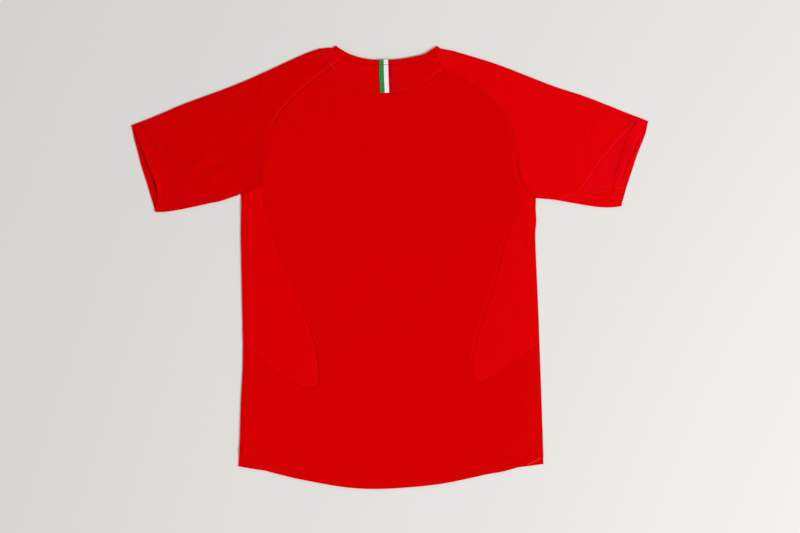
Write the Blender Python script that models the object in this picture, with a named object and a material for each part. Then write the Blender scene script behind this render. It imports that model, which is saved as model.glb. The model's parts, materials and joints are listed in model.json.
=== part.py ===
"""A short-sleeved raglan football jersey, laid flat with its back upwards.

X runs across the chest, Y towards the neck and Z up from the surface that the jersey lies on.
Each cut piece is a wall of cloth. The back lies on the front, and the pieces that pass round an
edge fold over it: their wall runs from the upper layer, round the fold, to the lower layer.
Seam lines are shared by the two pieces that meet there, and each piece stops short of them.
"""

import math
from collections import namedtuple

import bmesh
import bpy
import numpy as np

MM = 0.001

# Thicknesses and heights, in metres.
CLOTH = 1.2 * MM
BAND_CLOTH = 1.4 * MM
BAND_STEP = 0.3 * MM
HEM_STEP = 0.5 * MM
TAPE_CLOTH = 1.0 * MM
TAPE_GAP = 0.3 * MM
SEAM_GAP = 0.3 * MM
LOFT = 3.5 * MM
LOFT_RANGE = (3.1 * MM, 6.0 * MM)
FOLD_RADIUS = 2.0 * MM
HEM_DEPTH = 21 * MM
CUFF_DEPTH = 13 * MM

# Cells along each stretch of seam or edge.
CENTRE_CELLS = 14
NECK_FOLD_CELLS = 2
YOKE_CELLS = 3
YOKE_SEAM_CELLS = 2
SHOULDER_CELLS = 16
RAGLAN_CELLS = 12
FRONT_RAGLAN_CELLS = 7
ARMPIT_CELLS = 7
UNDERARM_CELLS = 9
CUFF_CELLS = 4
ROLL_CELLS = 2
SIDE_CELLS = 12
SIDE_HEM_CELLS = 7
ARC_CELLS = 4
TAPE_CELLS_ACROSS = 2
TAPE_CELLS_DOWN = 5

# How much the cells shorten towards the round nose of a side panel, along its seam and its foot.
SEAM_CROWDING = 1.3
FOOT_CROWDING = 1.5

# The ends of the tape at the centre back of the neck: the x of its corners and their y.
TapeEnd = namedtuple("TapeEnd", "left right y")
TAPE_TOP = TapeEnd(-18.3 * MM, 4.1 * MM, 350.6 * MM)
TAPE_FOOT = TapeEnd(-17.4 * MM, 5.2 * MM, 294.3 * MM)

# The front neckline, hidden by the back: half ellipses below the ends of the neckband.
FRONT_NECK_DEPTH = 93 * MM
FRONT_NECK_EDGE_DEPTH = 84 * MM
FRONT_YOKE_ANGLE = math.radians(25)

# Lines that cross the middle, each a list of (x, y) in millimetres from left to right.
MIDDLE_LINES = {
    "neck edge": [(-93, 374.5), (-64.5, 359), (-34, 351.5), (17, 352), (51, 359.5), (79.5, 374.5)],
    "neckband seam": [(-81.5, 356), (-68, 349.5), (-34, 343), (34, 347), (64.5, 355), (73, 360)],
    "yoke seam": [(-100, 339), (-76.5, 313.5), (-49, 297), (17, 296.5), (68, 317), (90, 339)],
    "nose line": [(-125.5, -201), (-60, -206), (80, -196), (139, -188)],
    "back hem": [
        (-256, -326.5), (-245, -327), (-227, -334), (-217, -341.5), (-135.5, -364.5), (-68, -374.5),
        (0, -375.5), (101.5, -364), (195, -342.5), (242.5, -323.5), (259.5, -319.5),
    ],
    "front hem": [(-256.5, -336.5), (-34, -368), (101.5, -356), (169.5, -343), (260, -334)],
    "front waist": [(-249, -131.5), (0, -137), (252, -129)],
}

# Lines of the two sides, as (x, y) in millimetres: those of the left side, then those of the right.
# The sides differ a little, because the jersey was laid down by hand.
SIDE_LINES = {
    "neck fold": ([(-93, 374.5), (-98.5, 371.5)], [(79.5, 374.5), (85.5, 370)]),
    "yoke fold": ([(-98.5, 371.5), (-118.5, 370)], [(85.5, 370), (108.5, 365.5)]),
    "shoulder fold": (
        [(-118.5, 370), (-135.5, 364.5), (-251, 314.5), (-373, 267), (-425.5, 245)],
        [(108.5, 365.5), (183, 342.5), (285, 302.5), (325.5, 289), (420.5, 253)],
    ),
    "corner fold": ([(-425.5, 245), (-437.5, 239.5)], [(420.5, 253), (436, 246.5)]),
    "cuff underarm": (
        [(-399, 94.5), (-381.5, 95.5), (-303.5, 109.5)],
        [(389, 102.5), (366, 102), (315.5, 109)],
    ),
    "underarm": ([(-303.5, 109.5), (-288, 112), (-254, 124)], [(315.5, 109), (249, 118.5)]),
    "side fold": (
        [(-254, 124), (-252.5, 113.5), (-253, 86.5), (-249, -131.5)],
        [(249, 118.5), (246, 108.5), (252, -129)],
    ),
    "side hem fold": (
        [(-249, -131.5), (-249, -185), (-256.5, -336.5)],
        [(252, -129), (260, -334)],
    ),
    "back mouth": (
        [(-437.5, 239.5), (-425.5, 220.5), (-413.5, 190.5), (-394, 132), (-399, 94.5)],
        [(436, 246.5), (416, 208.5), (406, 183), (396.5, 151), (395, 138)],
    ),
    "front mouth": (
        [(-437.5, 239.5), (-430.5, 217), (-399, 94.5)],
        [(436, 246.5), (432, 225.5), (413.5, 179.5), (389, 102.5)],
    ),
    "neckband end": ([(-98.5, 371.5), (-81.5, 356)], [(85.5, 370), (73, 360)]),
    "yoke seam end": ([(-118.5, 370), (-100, 339)], [(108.5, 365.5), (90, 339)]),
    "raglan head": ([(-81.5, 356), (-100, 339)], [(73, 360), (90, 339)]),
    "raglan": (
        [(-100, 339), (-115.5, 329), (-152.5, 299.5), (-182, 268.5), (-203.5, 232), (-216, 133)],
        [(90, 339), (152.5, 303), (196, 259.5), (208.5, 218.5), (215.5, 171), (228, 130.5)],
    ),
    "armpit": ([(-216, 133), (-234, 130), (-254, 124)], [(228, 130.5), (249, 118.5)]),
    "side seam": (
        [
            (-216, 133), (-214.5, 105), (-207.5, 74.5), (-176.5, -10), (-139, -98.5), (-123.5, -161),
            (-122.5, -193), (-125.5, -201),
        ],
        [
            (228, 130.5), (219.5, 101.5), (196.5, 54), (178, -18.5), (141.5, -139), (137, -176.5),
            (139, -188),
        ],
    ),
    "side foot": (
        [(-249, -131.5), (-207, -168.5), (-147.5, -203.5), (-134, -205), (-125.5, -201)],
        [(252, -129), (162.5, -189.5), (146, -192), (139, -188)],
    ),
    "gusset seam": (
        [(-425.5, 245), (-413.5, 225.5), (-339, 142), (-326.5, 126.5), (-303.5, 109.5)],
        [(420.5, 253), (356, 179), (319.5, 124.5)],
    ),
    "front yoke seam": ([(-118.5, 370), (-105, 323.5)], [(108.5, 365.5), (93, 323.5)]),
    "front raglan": (
        [(-105, 323.5), (-157.5, 261), (-195, 176.5), (-216, 133)],
        [(93, 323.5), (149, 257.5), (200, 171), (228, 130.5)],
    ),
    "front side seam": (
        [(-216, 133), (-215.5, 46), (-218.5, -103.5)],
        [(228, 130.5), (214, 46), (213.5, -103.5)],
    ),
    "front side foot": ([(-218.5, -103.5), (-249, -131.5)], [(213.5, -103.5), (252, -129)]),
}

# The folded edges of a side, in order: along the shoulder, and from the cuff down to the hem.
TOP_FOLDS = ("neck fold", "yoke fold", "shoulder fold", "corner fold")
LOW_FOLDS = ("cuff underarm", "underarm", "side fold", "side hem fold")

# The right sleeve is rolled a little, so its front shows below the cuff gusset there.
ROLL_LINES = {
    "gusset join": [(319.5, 124.5), (315.5, 109)],
    "roll seam": [(319.5, 124.5), (381.5, 137.5), (395, 138)],
    "roll mouth": [(395, 138), (389, 102.5)],
}

# Soft folds of the upper layer: a line from (x0, y0) to (x1, y1), its half width and its height.
# All are in millimetres, and a trough has a height below zero.
Fold = namedtuple("Fold", "x0 y0 x1 y1 width height")
FOLDS = [
    Fold(-347, 151, -296, 198, 12, 0.7),
    Fold(-308, 205, -274, 229, 10, -0.4),
    Fold(-317, 138, -254, 182, 11, 0.6),
    Fold(-326, 151, -261, 190, 8, -0.3),
    Fold(-217, 249, -238, 204, 11, -0.4),
    Fold(-243, 130, -217, 134, 8, 0.9),
    Fold(-208, 198, -211, 136, 9, 0.6),
    Fold(330, 252, 376, 240, 17, 0.9),
    Fold(349, 269, 393, 252, 9, -0.4),
    Fold(220, 318, 251, 300, 10, -0.4),
    Fold(101, 356, 139, 320, 10, 0.5),
    Fold(212, 198, 223, 138, 9, -0.4),
    Fold(221, 181, 236, 134, 9, 1.0),
    Fold(330, 113, 386, 117, 12, 0.8),
    Fold(-412, 190, -395, 122, 18, 2.0),
    Fold(417, 207, 395, 139, 16, 1.2),
    Fold(-144, -212, -115, -229, 11, 0.5),
    Fold(98, -229, 135, -208, 11, 0.5),
    Fold(-224, -56, -200, -70, 13, -0.3),
    Fold(-152, -140, -17, 62, 26, 0.5),
    Fold(8, -191, 135, 29, 28, 0.4),
    Fold(-152, 190, 152, 181, 16, 0.4),
    Fold(232, -2, 238, -27, 12, -0.3),
    Fold(-98, 371, -90, 340, 16, 0.7),
    Fold(85, 370, 88, 340, 16, 0.7),
    Fold(-60, 325, 50, 330, 28, 0.4),
]

# The fabrics, with their linear colours.
Fabric = namedtuple("Fabric", "colour roughness")
JERSEY_KNIT = Fabric((0.64, 0.0012, 0.0018), 0.72)
MESH_KNIT = Fabric((0.67, 0.0015, 0.0022), 0.78)
RIB_KNIT = Fabric((0.60, 0.001, 0.0015), 0.80)
WOVEN_TAPE = Fabric((0.80, 0.80, 0.78), 0.60)

# Edges sharper than this stay sharp in the shading.
SHARP_ANGLE = math.radians(40)

# A patch of cloth: its outer and inner points, row by row.
Patch = namedtuple("Patch", "outer inner")


def smooth_line(points, span_steps=10):
    """A dense centripetal Catmull-Rom line through the points."""
    points = np.asarray(points, float)
    if len(points) == 2:
        share = np.linspace(0, 1, span_steps + 1)[:, None]
        return points[0] + share * (points[1] - points[0])
    ends = np.vstack([2 * points[0] - points[1], points, 2 * points[-1] - points[-2]])
    line = [points[:1]]
    for start in range(len(points) - 1):
        p0, p1, p2, p3 = ends[start:start + 4]
        t1 = np.linalg.norm(p1 - p0) ** 0.5
        t2 = t1 + np.linalg.norm(p2 - p1) ** 0.5
        t3 = t2 + np.linalg.norm(p3 - p2) ** 0.5
        t = np.linspace(t1, t2, span_steps + 1)[1:, None]
        a1 = (t1 - t) / t1 * p0 + t / t1 * p1
        a2 = (t2 - t) / (t2 - t1) * p1 + (t - t1) / (t2 - t1) * p2
        a3 = (t3 - t) / (t3 - t2) * p2 + (t - t2) / (t3 - t2) * p3
        b1 = (t2 - t) / t2 * a1 + t / t2 * a2
        b2 = (t3 - t) / (t3 - t1) * a2 + (t - t1) / (t3 - t1) * a3
        line.append((t2 - t) / (t2 - t1) * b1 + (t - t1) / (t2 - t1) * b2)
    return np.vstack(line)


def even(cells):
    return np.linspace(0, 1, cells + 1)


def closer_at_end(cells, power):
    return 1 - (1 - even(cells)) ** power


def first_cell(cells, depth, points):
    """Shares of a line whose first cell has this depth, as for a hem, and the rest one size."""
    length = running_lengths(smooth_line(points))[-1]
    return np.concatenate([[0], np.linspace(depth / length, 1, cells)])


def running_lengths(line):
    return np.concatenate([[0], np.cumsum(np.linalg.norm(np.diff(line, axis=0), axis=1))])


def stations(points, shares):
    """Points of the smooth line at these shares of its length."""
    line = smooth_line(points)
    lengths = running_lengths(line)
    wanted = shares * lengths[-1]
    return np.column_stack([np.interp(wanted, lengths, line[:, axis]) for axis in (0, 1)])


def in_metres(points):
    return [(x * MM, y * MM) for x, y in points]


def outward(line, side):
    """The mitred outward vector at each point of a fold line."""
    runs = np.diff(line, axis=0)
    runs /= np.linalg.norm(runs, axis=1)[:, None]
    normals = np.column_stack([runs[:, 1], -runs[:, 0]]) * side
    before = np.vstack([normals[:1], normals])
    after = np.vstack([normals, normals[-1:]])
    return (before + after) / (1 + (before * after).sum(axis=1))[:, None]


class FoldEdge:
    """A folded edge: stretches of stations, each with its outward vector and its inset point."""

    def __init__(self, stretches, side):
        line = np.vstack([stretch if index == 0 else stretch[1:]
                          for index, (_, stretch) in enumerate(stretches)])
        self.out = outward(line, side) * FOLD_RADIUS
        self.inset = line - self.out
        self.slices = {}
        start = 0
        for name, stretch in stretches:
            self.slices[name] = slice(start, start + len(stretch))
            start += len(stretch) - 1

    def points(self, name):
        return self.inset[self.slices[name]]

    def vectors(self, name):
        return self.out[self.slices[name]]


def fold_line(fold, x, y):
    """The height that one soft fold gives to the points (x, y)."""
    start = np.array([fold.x0, fold.y0]) * MM
    run = np.array([fold.x1, fold.y1]) * MM - start
    share = ((x - start[0]) * run[0] + (y - start[1]) * run[1]) / (run @ run)
    share = np.clip(share, 0, 1)
    distance = np.hypot(x - start[0] - share * run[0], y - start[1] - share * run[1])
    return fold.height * MM * np.exp(-(distance / (fold.width * MM)) ** 2)


def loft(plan):
    """The height of the upper layer's outer face over points in plan."""
    x, y = plan[..., 0], plan[..., 1]
    height = LOFT + sum(fold_line(fold, x, y) for fold in FOLDS)
    return np.clip(height, *LOFT_RANGE)


def arc_shares(line):
    lengths = running_lengths(line)
    return lengths / lengths[-1]


def fill(top, bottom, left, right):
    """A grid between four lines: top and bottom run from left to right, the sides from top to bottom."""
    s_top, s_bottom = arc_shares(top)[None, :], arc_shares(bottom)[None, :]
    s_left, s_right = arc_shares(left)[:, None], arc_shares(right)[:, None]
    u = (s_top + s_left * (s_bottom - s_top)) / (1 - (s_bottom - s_top) * (s_right - s_left))
    v = s_left + u * (s_right - s_left)
    u, v = u[..., None], v[..., None]
    between = (1 - v) * top[None] + v * bottom[None] + (1 - u) * left[:, None] + u * right[:, None]
    corners = (1 - v) * ((1 - u) * top[0] + u * top[-1]) + v * ((1 - u) * bottom[0] + u * bottom[-1])
    grid = between - corners
    grid[0], grid[-1], grid[:, 0], grid[:, -1] = top, bottom, left, right
    return grid


def with_height(plan, height):
    return np.dstack([plan, np.broadcast_to(height, plan.shape[:2])])


def upper(plan, cloth=CLOTH, step=0.0, raised=0.0):
    """The upper layer over a grid: step lifts it all, and raised thickens it upwards by place."""
    height = loft(plan) + step
    return Patch(with_height(plan, height + raised), with_height(plan, height - cloth))


def lower(plan, cloth=CLOTH):
    """The lower layer over a grid, flat on the surface."""
    return Patch(with_height(plan, 0.0), with_height(plan, cloth))


def round_fold(above, below, vectors, cloth=CLOTH, step=0.0):
    """The cloth that turns from the upper layer's edge, above, to the lower layer's edge, below."""
    half = (loft(above) + step)[:, None] / 2
    rows_outer, rows_inner = [], []
    for share in even(ARC_CELLS):
        angle = share * math.pi
        plan = above + share * (below - above)
        ring = plan + math.sin(angle) * vectors
        inner_ring = plan + math.sin(angle) * vectors * (1 - cloth / FOLD_RADIUS)
        rows_outer.append(np.hstack([ring, half + half * math.cos(angle)]))
        rows_inner.append(np.hstack([inner_ring, half + (half - cloth) * math.cos(angle)]))
    return Patch(np.array(rows_outer), np.array(rows_inner))


def wall_mesh(name, patches):
    """Welds the patches of one piece and closes the wall along its free edges."""
    index, outer, inner = {}, [], []
    faces = []
    for patch in patches:
        rows, columns = patch.outer.shape[:2]
        ids = np.empty((rows, columns), int)
        for row in range(rows):
            for column in range(columns):
                key = tuple(np.round(patch.outer[row, column] / MM, 3) + 0.0)
                if key not in index:
                    index[key] = len(outer)
                    outer.append(patch.outer[row, column])
                    inner.append(patch.inner[row, column])
                ids[row, column] = index[key]
        quads = [(ids[r, c], ids[r, c + 1], ids[r + 1, c + 1], ids[r + 1, c])
                 for r in range(rows - 1) for c in range(columns - 1)]
        if faces_inwards(patch):
            quads = [quad[::-1] for quad in quads]
        faces += [tuple(dict.fromkeys(quad)) for quad in quads if len(set(quad)) > 2]
    outer, inner = np.array(outer), np.array(inner)
    free = free_edges(faces)
    pull_back(outer, inner, faces, free)
    count = len(outer)
    closed = list(faces)
    closed += [tuple(count + point for point in reversed(face)) for face in faces]
    closed += [(end, start, start + count, end + count) for start, end in free]
    mesh = bpy.data.meshes.new(name)
    mesh.from_pydata(np.vstack([outer, inner]).tolist(), [], closed)
    mesh.validate()
    return mesh


def faces_inwards(patch):
    across = patch.outer[:-1, 1:] - patch.outer[:-1, :-1]
    down = patch.outer[1:, :-1] - patch.outer[:-1, :-1]
    thickness = patch.outer[:-1, :-1] - patch.inner[:-1, :-1]
    return (np.cross(across, down) * thickness).sum() < 0


def free_edges(faces):
    """Directed edges that only one face has."""
    directed = {(face[i], face[(i + 1) % len(face)]) for face in faces for i in range(len(face))}
    return [edge for edge in sorted(directed) if edge[::-1] not in directed]


def pull_back(outer, inner, faces, free):
    """Draws the free edges in by half a seam gap, within the cloth, so that neighbours part.

    An edge that lies on the surface below stays on it.
    """
    owner = {}
    for face in faces:
        for i in range(len(face)):
            owner[(face[i], face[(i + 1) % len(face)])] = face
    inwards = {}
    for start, end in free:
        corners = outer[list(owner[(start, end)])]
        normal = sum(np.cross(corners[i] - corners[0], corners[i + 1] - corners[0])
                     for i in range(1, len(corners) - 1))
        direction = np.cross(normal, outer[end] - outer[start])
        direction /= np.linalg.norm(direction)
        inwards.setdefault(start, []).append(direction)
        inwards.setdefault(end, []).append(direction)
    for point, (first, second) in inwards.items():
        mitre = (first + second) / (1 + first @ second)
        if outer[point][2] < SEAM_GAP:
            mitre[2] = 0
        outer[point] += mitre * SEAM_GAP / 2
        inner[point] += mitre * SEAM_GAP / 2


def cloth_material(name, fabric):
    material = bpy.data.materials.new(name)
    material.use_nodes = True
    shader = material.node_tree.nodes["Principled BSDF"]
    shader.inputs["Base Color"].default_value = (*fabric.colour, 1.0)
    shader.inputs["Roughness"].default_value = fabric.roughness
    shader.inputs["Metallic"].default_value = 0.0
    material.diffuse_color = (*fabric.colour, 1.0)
    return material


def add_piece(name, patches, fabric):
    mesh = wall_mesh(name, patches)
    mesh.materials.append(cloth_material(name + "_cloth", fabric))
    mesh.shade_smooth()
    mesh.set_sharp_from_angle(angle=SHARP_ANGLE)
    piece = bpy.data.objects.new(name, mesh)
    bpy.context.scene.collection.objects.link(piece)
    return piece


def half_ellipse(left, right, depth, cells_by_stretch, angle):
    """The front neckline from its left end to its right end, in three stretches."""
    left, right = np.array(left), np.array(right)
    middle, reach = (left + right) / 2, (right - left) / 2
    splits = [0, angle, math.pi - angle, math.pi]
    stretches = []
    for stretch, cells in enumerate(cells_by_stretch):
        turn = np.linspace(splits[stretch], splits[stretch + 1], cells + 1)[:, None]
        stretches.append(middle - np.cos(turn) * reach - np.sin(turn) * np.array([[0, depth]]))
    return stretches


def side_lines(table, side):
    """The stations of one side's seams and folds, with their ends on the inset fold points."""
    rolled = "roll seam" in table
    table = {name: in_metres(points) for name, points in table.items()}
    mouth_cells = RAGLAN_CELLS if rolled else RAGLAN_CELLS + YOKE_SEAM_CELLS
    shares = {
        "neck fold": even(NECK_FOLD_CELLS),
        "yoke fold": even(YOKE_CELLS),
        "shoulder fold": even(SHOULDER_CELLS),
        "corner fold": even(CUFF_CELLS),
        "cuff underarm": first_cell(CUFF_CELLS, CUFF_DEPTH, table["cuff underarm"]),
        "underarm": even(UNDERARM_CELLS),
        "side fold": even(SIDE_CELLS),
        "side hem fold": 1 - first_cell(SIDE_HEM_CELLS, HEM_DEPTH, table["side hem fold"])[::-1],
        "back mouth": even(mouth_cells),
        "roll mouth": even(ROLL_CELLS),
        "front mouth": even(FRONT_RAGLAN_CELLS + YOKE_SEAM_CELLS),
        "neckband end": even(YOKE_SEAM_CELLS),
        "yoke seam end": even(YOKE_SEAM_CELLS),
        "raglan head": even(YOKE_CELLS),
        "raglan": even(RAGLAN_CELLS),
        "armpit": even(ARMPIT_CELLS),
        "side seam": closer_at_end(SIDE_CELLS, SEAM_CROWDING),
        "side foot": closer_at_end(ARMPIT_CELLS, FOOT_CROWDING),
        "gusset seam": even(mouth_cells),
        "gusset join": even(ROLL_CELLS),
        "front yoke seam": even(YOKE_SEAM_CELLS),
        "front raglan": even(FRONT_RAGLAN_CELLS),
        "front side seam": even(SIDE_CELLS),
        "front side foot": even(ARMPIT_CELLS),
    }
    if rolled:
        shares["roll seam"] = 1 - first_cell(CUFF_CELLS, CUFF_DEPTH, table["roll seam"])[::-1]
    lines, inset = {}, {}
    for names in (TOP_FOLDS, LOW_FOLDS):
        edge = FoldEdge([(name, stations(table[name], shares[name])) for name in names], -side)
        for name in names:
            lines[name] = edge.points(name)
            lines[name + " out"] = edge.vectors(name)
            inset[table[name][0]] = tuple(lines[name][0])
            inset[table[name][-1]] = tuple(lines[name][-1])
    for name, points in table.items():
        if name not in lines:
            ends = [inset.get(point, point) for point in (points[0], points[-1])]
            lines[name] = stations([ends[0], *points[1:-1], ends[1]], shares[name])
    return lines


def middle_line(name, shares, left_end=None, right_end=None):
    points = in_metres(MIDDLE_LINES[name])
    if left_end is not None:
        points[0], points[-1] = tuple(left_end), tuple(right_end)
    return stations(points, shares)


def join(*stretches):
    """One line from stretches that follow each other."""
    return np.vstack([stretch if index == 0 else stretch[1:] for index, stretch in enumerate(stretches)])


def add_back_panel(left, right, yoke_seam):
    nose_line = middle_line("nose line", even(CENTRE_CELLS))
    blade = fill(
        yoke_seam,
        nose_line,
        join(left["raglan"], left["side seam"]),
        join(right["raglan"], right["side seam"]),
    )
    cells = CENTRE_CELLS + 2 * ARMPIT_CELLS
    edges = {}
    for name, lines, end in (("left", left, 0), ("right", right, -1)):
        edge = lines["side hem fold"].copy()
        corner = np.array(MIDDLE_LINES["back hem"][end]) * MM
        edge[-1] = corner - lines["side hem fold out"][-1]
        edges[name] = edge
    hem = middle_line("back hem", even(cells), edges["left"][-1], edges["right"][-1])
    skirt = fill(
        join(left["side foot"], nose_line, right["side foot"][::-1]),
        hem,
        edges["left"],
        edges["right"],
    )
    raised = np.zeros(skirt.shape[:2])
    raised[-2:, 1:-1] = HEM_STEP
    patches = [upper(blade), upper(skirt, raised=raised)]
    for name, lines in (("left", left), ("right", right)):
        patches.append(round_fold(edges[name], lines["side hem fold"], lines["side hem fold out"]))
    add_piece("back_panel", patches, JERSEY_KNIT)


def add_back_yoke(left, right, band_seam, yoke_seam):
    grid = fill(band_seam, yoke_seam, left["raglan head"], right["raglan head"])
    add_piece("back_yoke", [upper(grid)], MESH_KNIT)


def add_shoulder_yoke(name, lines, front_end, front_head):
    back = fill(lines["yoke fold"][::-1], lines["raglan head"][::-1],
                lines["yoke seam end"], lines["neckband end"])
    front = fill(lines["yoke fold"][::-1], front_head, lines["front yoke seam"], front_end)
    turn = round_fold(lines["yoke fold"], lines["yoke fold"], lines["yoke fold out"])
    add_piece(name, [upper(back), turn, lower(front)], MESH_KNIT)


def add_sleeve(name, lines):
    rolled = "roll seam" in lines
    gusset_side = lines["gusset seam"]
    if rolled:
        gusset_side = join(gusset_side, lines["gusset join"])
    underarm = lines["underarm"]
    back = fill(
        lines["shoulder fold"],
        join(lines["armpit"], underarm[::-1]),
        join(lines["yoke seam end"], lines["raglan"]),
        gusset_side,
    )
    front = fill(
        join(lines["shoulder fold"], lines["corner fold"]),
        join(lines["armpit"], underarm[::-1], lines["cuff underarm"][::-1]),
        join(lines["front yoke seam"], lines["front raglan"]),
        lines["front mouth"],
    )
    patches = [upper(back), lower(front)]
    for edge in ("shoulder fold", "underarm"):
        patches.append(round_fold(lines[edge], lines[edge], lines[edge + " out"]))
    if rolled:
        foot = lines["cuff underarm"][::-1]
        roll = fill(lines["roll seam"], foot, lines["gusset join"], lines["roll mouth"])
        raised = np.zeros(roll.shape[:2])
        raised[:-1, -2:] = HEM_STEP
        edge = "cuff underarm"
        turn = round_fold(lines[edge], lines[edge], lines[edge + " out"])
        patches += [upper(roll, raised=raised), turn]
    add_piece(name, patches, JERSEY_KNIT)


def add_cuff_gusset(name, lines):
    rolled = "roll seam" in lines
    foot = lines["roll seam"][::-1] if rolled else lines["cuff underarm"]
    grid = fill(lines["corner fold"][::-1], foot, lines["back mouth"], lines["gusset seam"])
    raised = np.zeros(grid.shape[:2])
    raised[1:None if rolled else -1, :2] = HEM_STEP
    patches = [upper(grid, raised=raised)]
    for edge in ["corner fold"] if rolled else ["corner fold", "cuff underarm"]:
        patches.append(round_fold(lines[edge], lines[edge], lines[edge + " out"]))
    add_piece(name, patches, MESH_KNIT)


def add_side_panel(name, lines):
    back = fill(lines["armpit"], lines["side foot"][::-1], lines["side seam"], lines["side fold"])
    front = fill(lines["armpit"], lines["front side foot"], lines["front side seam"], lines["side fold"])
    turn = round_fold(lines["side fold"], lines["side fold"], lines["side fold out"])
    add_piece(name, [upper(back), turn, lower(front)], MESH_KNIT)


def add_front_panel(left, right, neckline, heads):
    edges = [left["side hem fold"], right["side hem fold"]]
    waist = middle_line("front waist", even(CENTRE_CELLS), edges[0][0], edges[1][0])
    sides = [
        join(head, lines["front raglan"], lines["front side seam"], lines["front side foot"])
        for head, lines in zip(heads, (left, right))
    ]
    body = fill(neckline, waist, *sides)
    hem = middle_line("front hem", even(CENTRE_CELLS), edges[0][-1], edges[1][-1])
    skirt = fill(waist, hem, *edges)
    add_piece("front_panel", [lower(body), lower(skirt)], JERSEY_KNIT)


def add_neckband(left, right, back_seam, front_seam):
    edge_shares = even(CENTRE_CELLS + 2 * YOKE_SEAM_CELLS)
    back_edge = middle_line("neck edge", edge_shares, left["neck fold"][0], right["neck fold"][0])
    front_edge = join(*half_ellipse(
        left["neck fold"][0], right["neck fold"][0], FRONT_NECK_EDGE_DEPTH,
        (YOKE_SEAM_CELLS, CENTRE_CELLS, YOKE_SEAM_CELLS), FRONT_YOKE_ANGLE,
    ))
    back = fill(back_edge, back_seam, left["neck fold"], right["neck fold"])
    front = fill(front_edge, front_seam, left["neck fold"], right["neck fold"])
    patches = [upper(back, BAND_CLOTH, BAND_STEP), lower(front, BAND_CLOTH)]
    for lines in (left, right):
        line, out = lines["neck fold"], lines["neck fold out"]
        patches.append(round_fold(line, line, out, BAND_CLOTH, BAND_STEP))
    add_piece("neckband", patches, RIB_KNIT)


def add_neck_tape():
    """A short tape over the neckband and the yoke, made from the height of what it lies on."""
    top, foot = [
        stations([(end.left, end.y), (end.right, end.y)], even(TAPE_CELLS_ACROSS))
        for end in (TAPE_TOP, TAPE_FOOT)
    ]
    sides = [stations([top[end], foot[end]], even(TAPE_CELLS_DOWN)) for end in (0, -1)]
    plan = fill(top, foot, *sides)
    base = loft(plan) + BAND_STEP + TAPE_GAP
    patch = Patch(with_height(plan, base + TAPE_CLOTH), with_height(plan, base))
    add_piece("neck_tape", [patch], WOVEN_TAPE)


def centre_on_surface():
    """Puts the middle of the jersey's outline at x = y = 0 and its underside at z = 0."""
    pieces = [item for item in bpy.data.objects if item.type == "MESH"]
    points = np.array([vertex.co[:] for piece in pieces for vertex in piece.data.vertices])
    low, high = points.min(axis=0), points.max(axis=0)
    shift = np.array([-(low[0] + high[0]) / 2, -(low[1] + high[1]) / 2, -low[2]])
    for piece in pieces:
        bm = bmesh.new()
        bm.from_mesh(piece.data)
        bmesh.ops.translate(bm, verts=bm.verts, vec=shift.tolist())
        bm.to_mesh(piece.data)
        bm.free()


def build():
    for item in list(bpy.data.objects):
        bpy.data.objects.remove(item, do_unlink=True)
    left = side_lines({name: pair[0] for name, pair in SIDE_LINES.items()}, -1)
    right = side_lines({name: pair[1] for name, pair in SIDE_LINES.items()} | ROLL_LINES, 1)
    yoke_seam = middle_line("yoke seam", even(CENTRE_CELLS))
    band_seam = middle_line("neckband seam", even(CENTRE_CELLS))
    back_neck = join(left["neckband end"], band_seam, right["neckband end"][::-1])
    front_left, front_middle, front_right = half_ellipse(
        left["neckband end"][0], right["neckband end"][0], FRONT_NECK_DEPTH,
        (YOKE_SEAM_CELLS, CENTRE_CELLS, YOKE_SEAM_CELLS), FRONT_YOKE_ANGLE,
    )
    head_left = stations([front_left[-1], left["front raglan"][0]], even(YOKE_CELLS))
    head_right = stations([front_right[0], right["front raglan"][0]], even(YOKE_CELLS))
    add_back_panel(left, right, yoke_seam)
    add_back_yoke(left, right, band_seam, yoke_seam)
    add_shoulder_yoke("shoulder_yoke_left", left, front_left, head_left[::-1])
    add_shoulder_yoke("shoulder_yoke_right", right, front_right[::-1], head_right[::-1])
    for name, lines in (("left", left), ("right", right)):
        add_sleeve("sleeve_" + name, lines)
        add_cuff_gusset("cuff_gusset_" + name, lines)
        add_side_panel("side_panel_" + name, lines)
    add_front_panel(left, right, front_middle, (head_left, head_right))
    add_neckband(left, right, back_neck, join(front_left, front_middle, front_right))
    add_neck_tape()
    centre_on_surface()


build()
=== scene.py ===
import json
import math
from collections import namedtuple
from functools import partial

import bmesh
import bpy
import numpy as np
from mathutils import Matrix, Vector, noise
from mathutils.bvhtree import BVHTree
from mathutils.geometry import delaunay_2d_cdt
from mathutils.kdtree import KDTree


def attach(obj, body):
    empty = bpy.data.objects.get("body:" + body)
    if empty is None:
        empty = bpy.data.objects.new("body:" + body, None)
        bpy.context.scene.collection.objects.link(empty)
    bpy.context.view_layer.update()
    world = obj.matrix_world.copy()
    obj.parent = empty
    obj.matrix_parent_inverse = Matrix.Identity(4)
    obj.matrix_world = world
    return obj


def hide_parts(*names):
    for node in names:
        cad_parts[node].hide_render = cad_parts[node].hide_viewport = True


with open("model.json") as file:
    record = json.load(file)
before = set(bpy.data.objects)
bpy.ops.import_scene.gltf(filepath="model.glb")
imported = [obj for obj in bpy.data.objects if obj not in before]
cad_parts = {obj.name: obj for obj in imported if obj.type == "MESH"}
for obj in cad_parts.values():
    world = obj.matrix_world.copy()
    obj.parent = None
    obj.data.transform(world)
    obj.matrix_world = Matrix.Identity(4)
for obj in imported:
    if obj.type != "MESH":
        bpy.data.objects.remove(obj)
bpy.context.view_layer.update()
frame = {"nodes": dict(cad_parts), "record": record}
bpy.ops.object.select_all(action="DESELECT")
print("frame loaded:", len(frame["nodes"]), "nodes")

mm = 0.001

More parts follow.
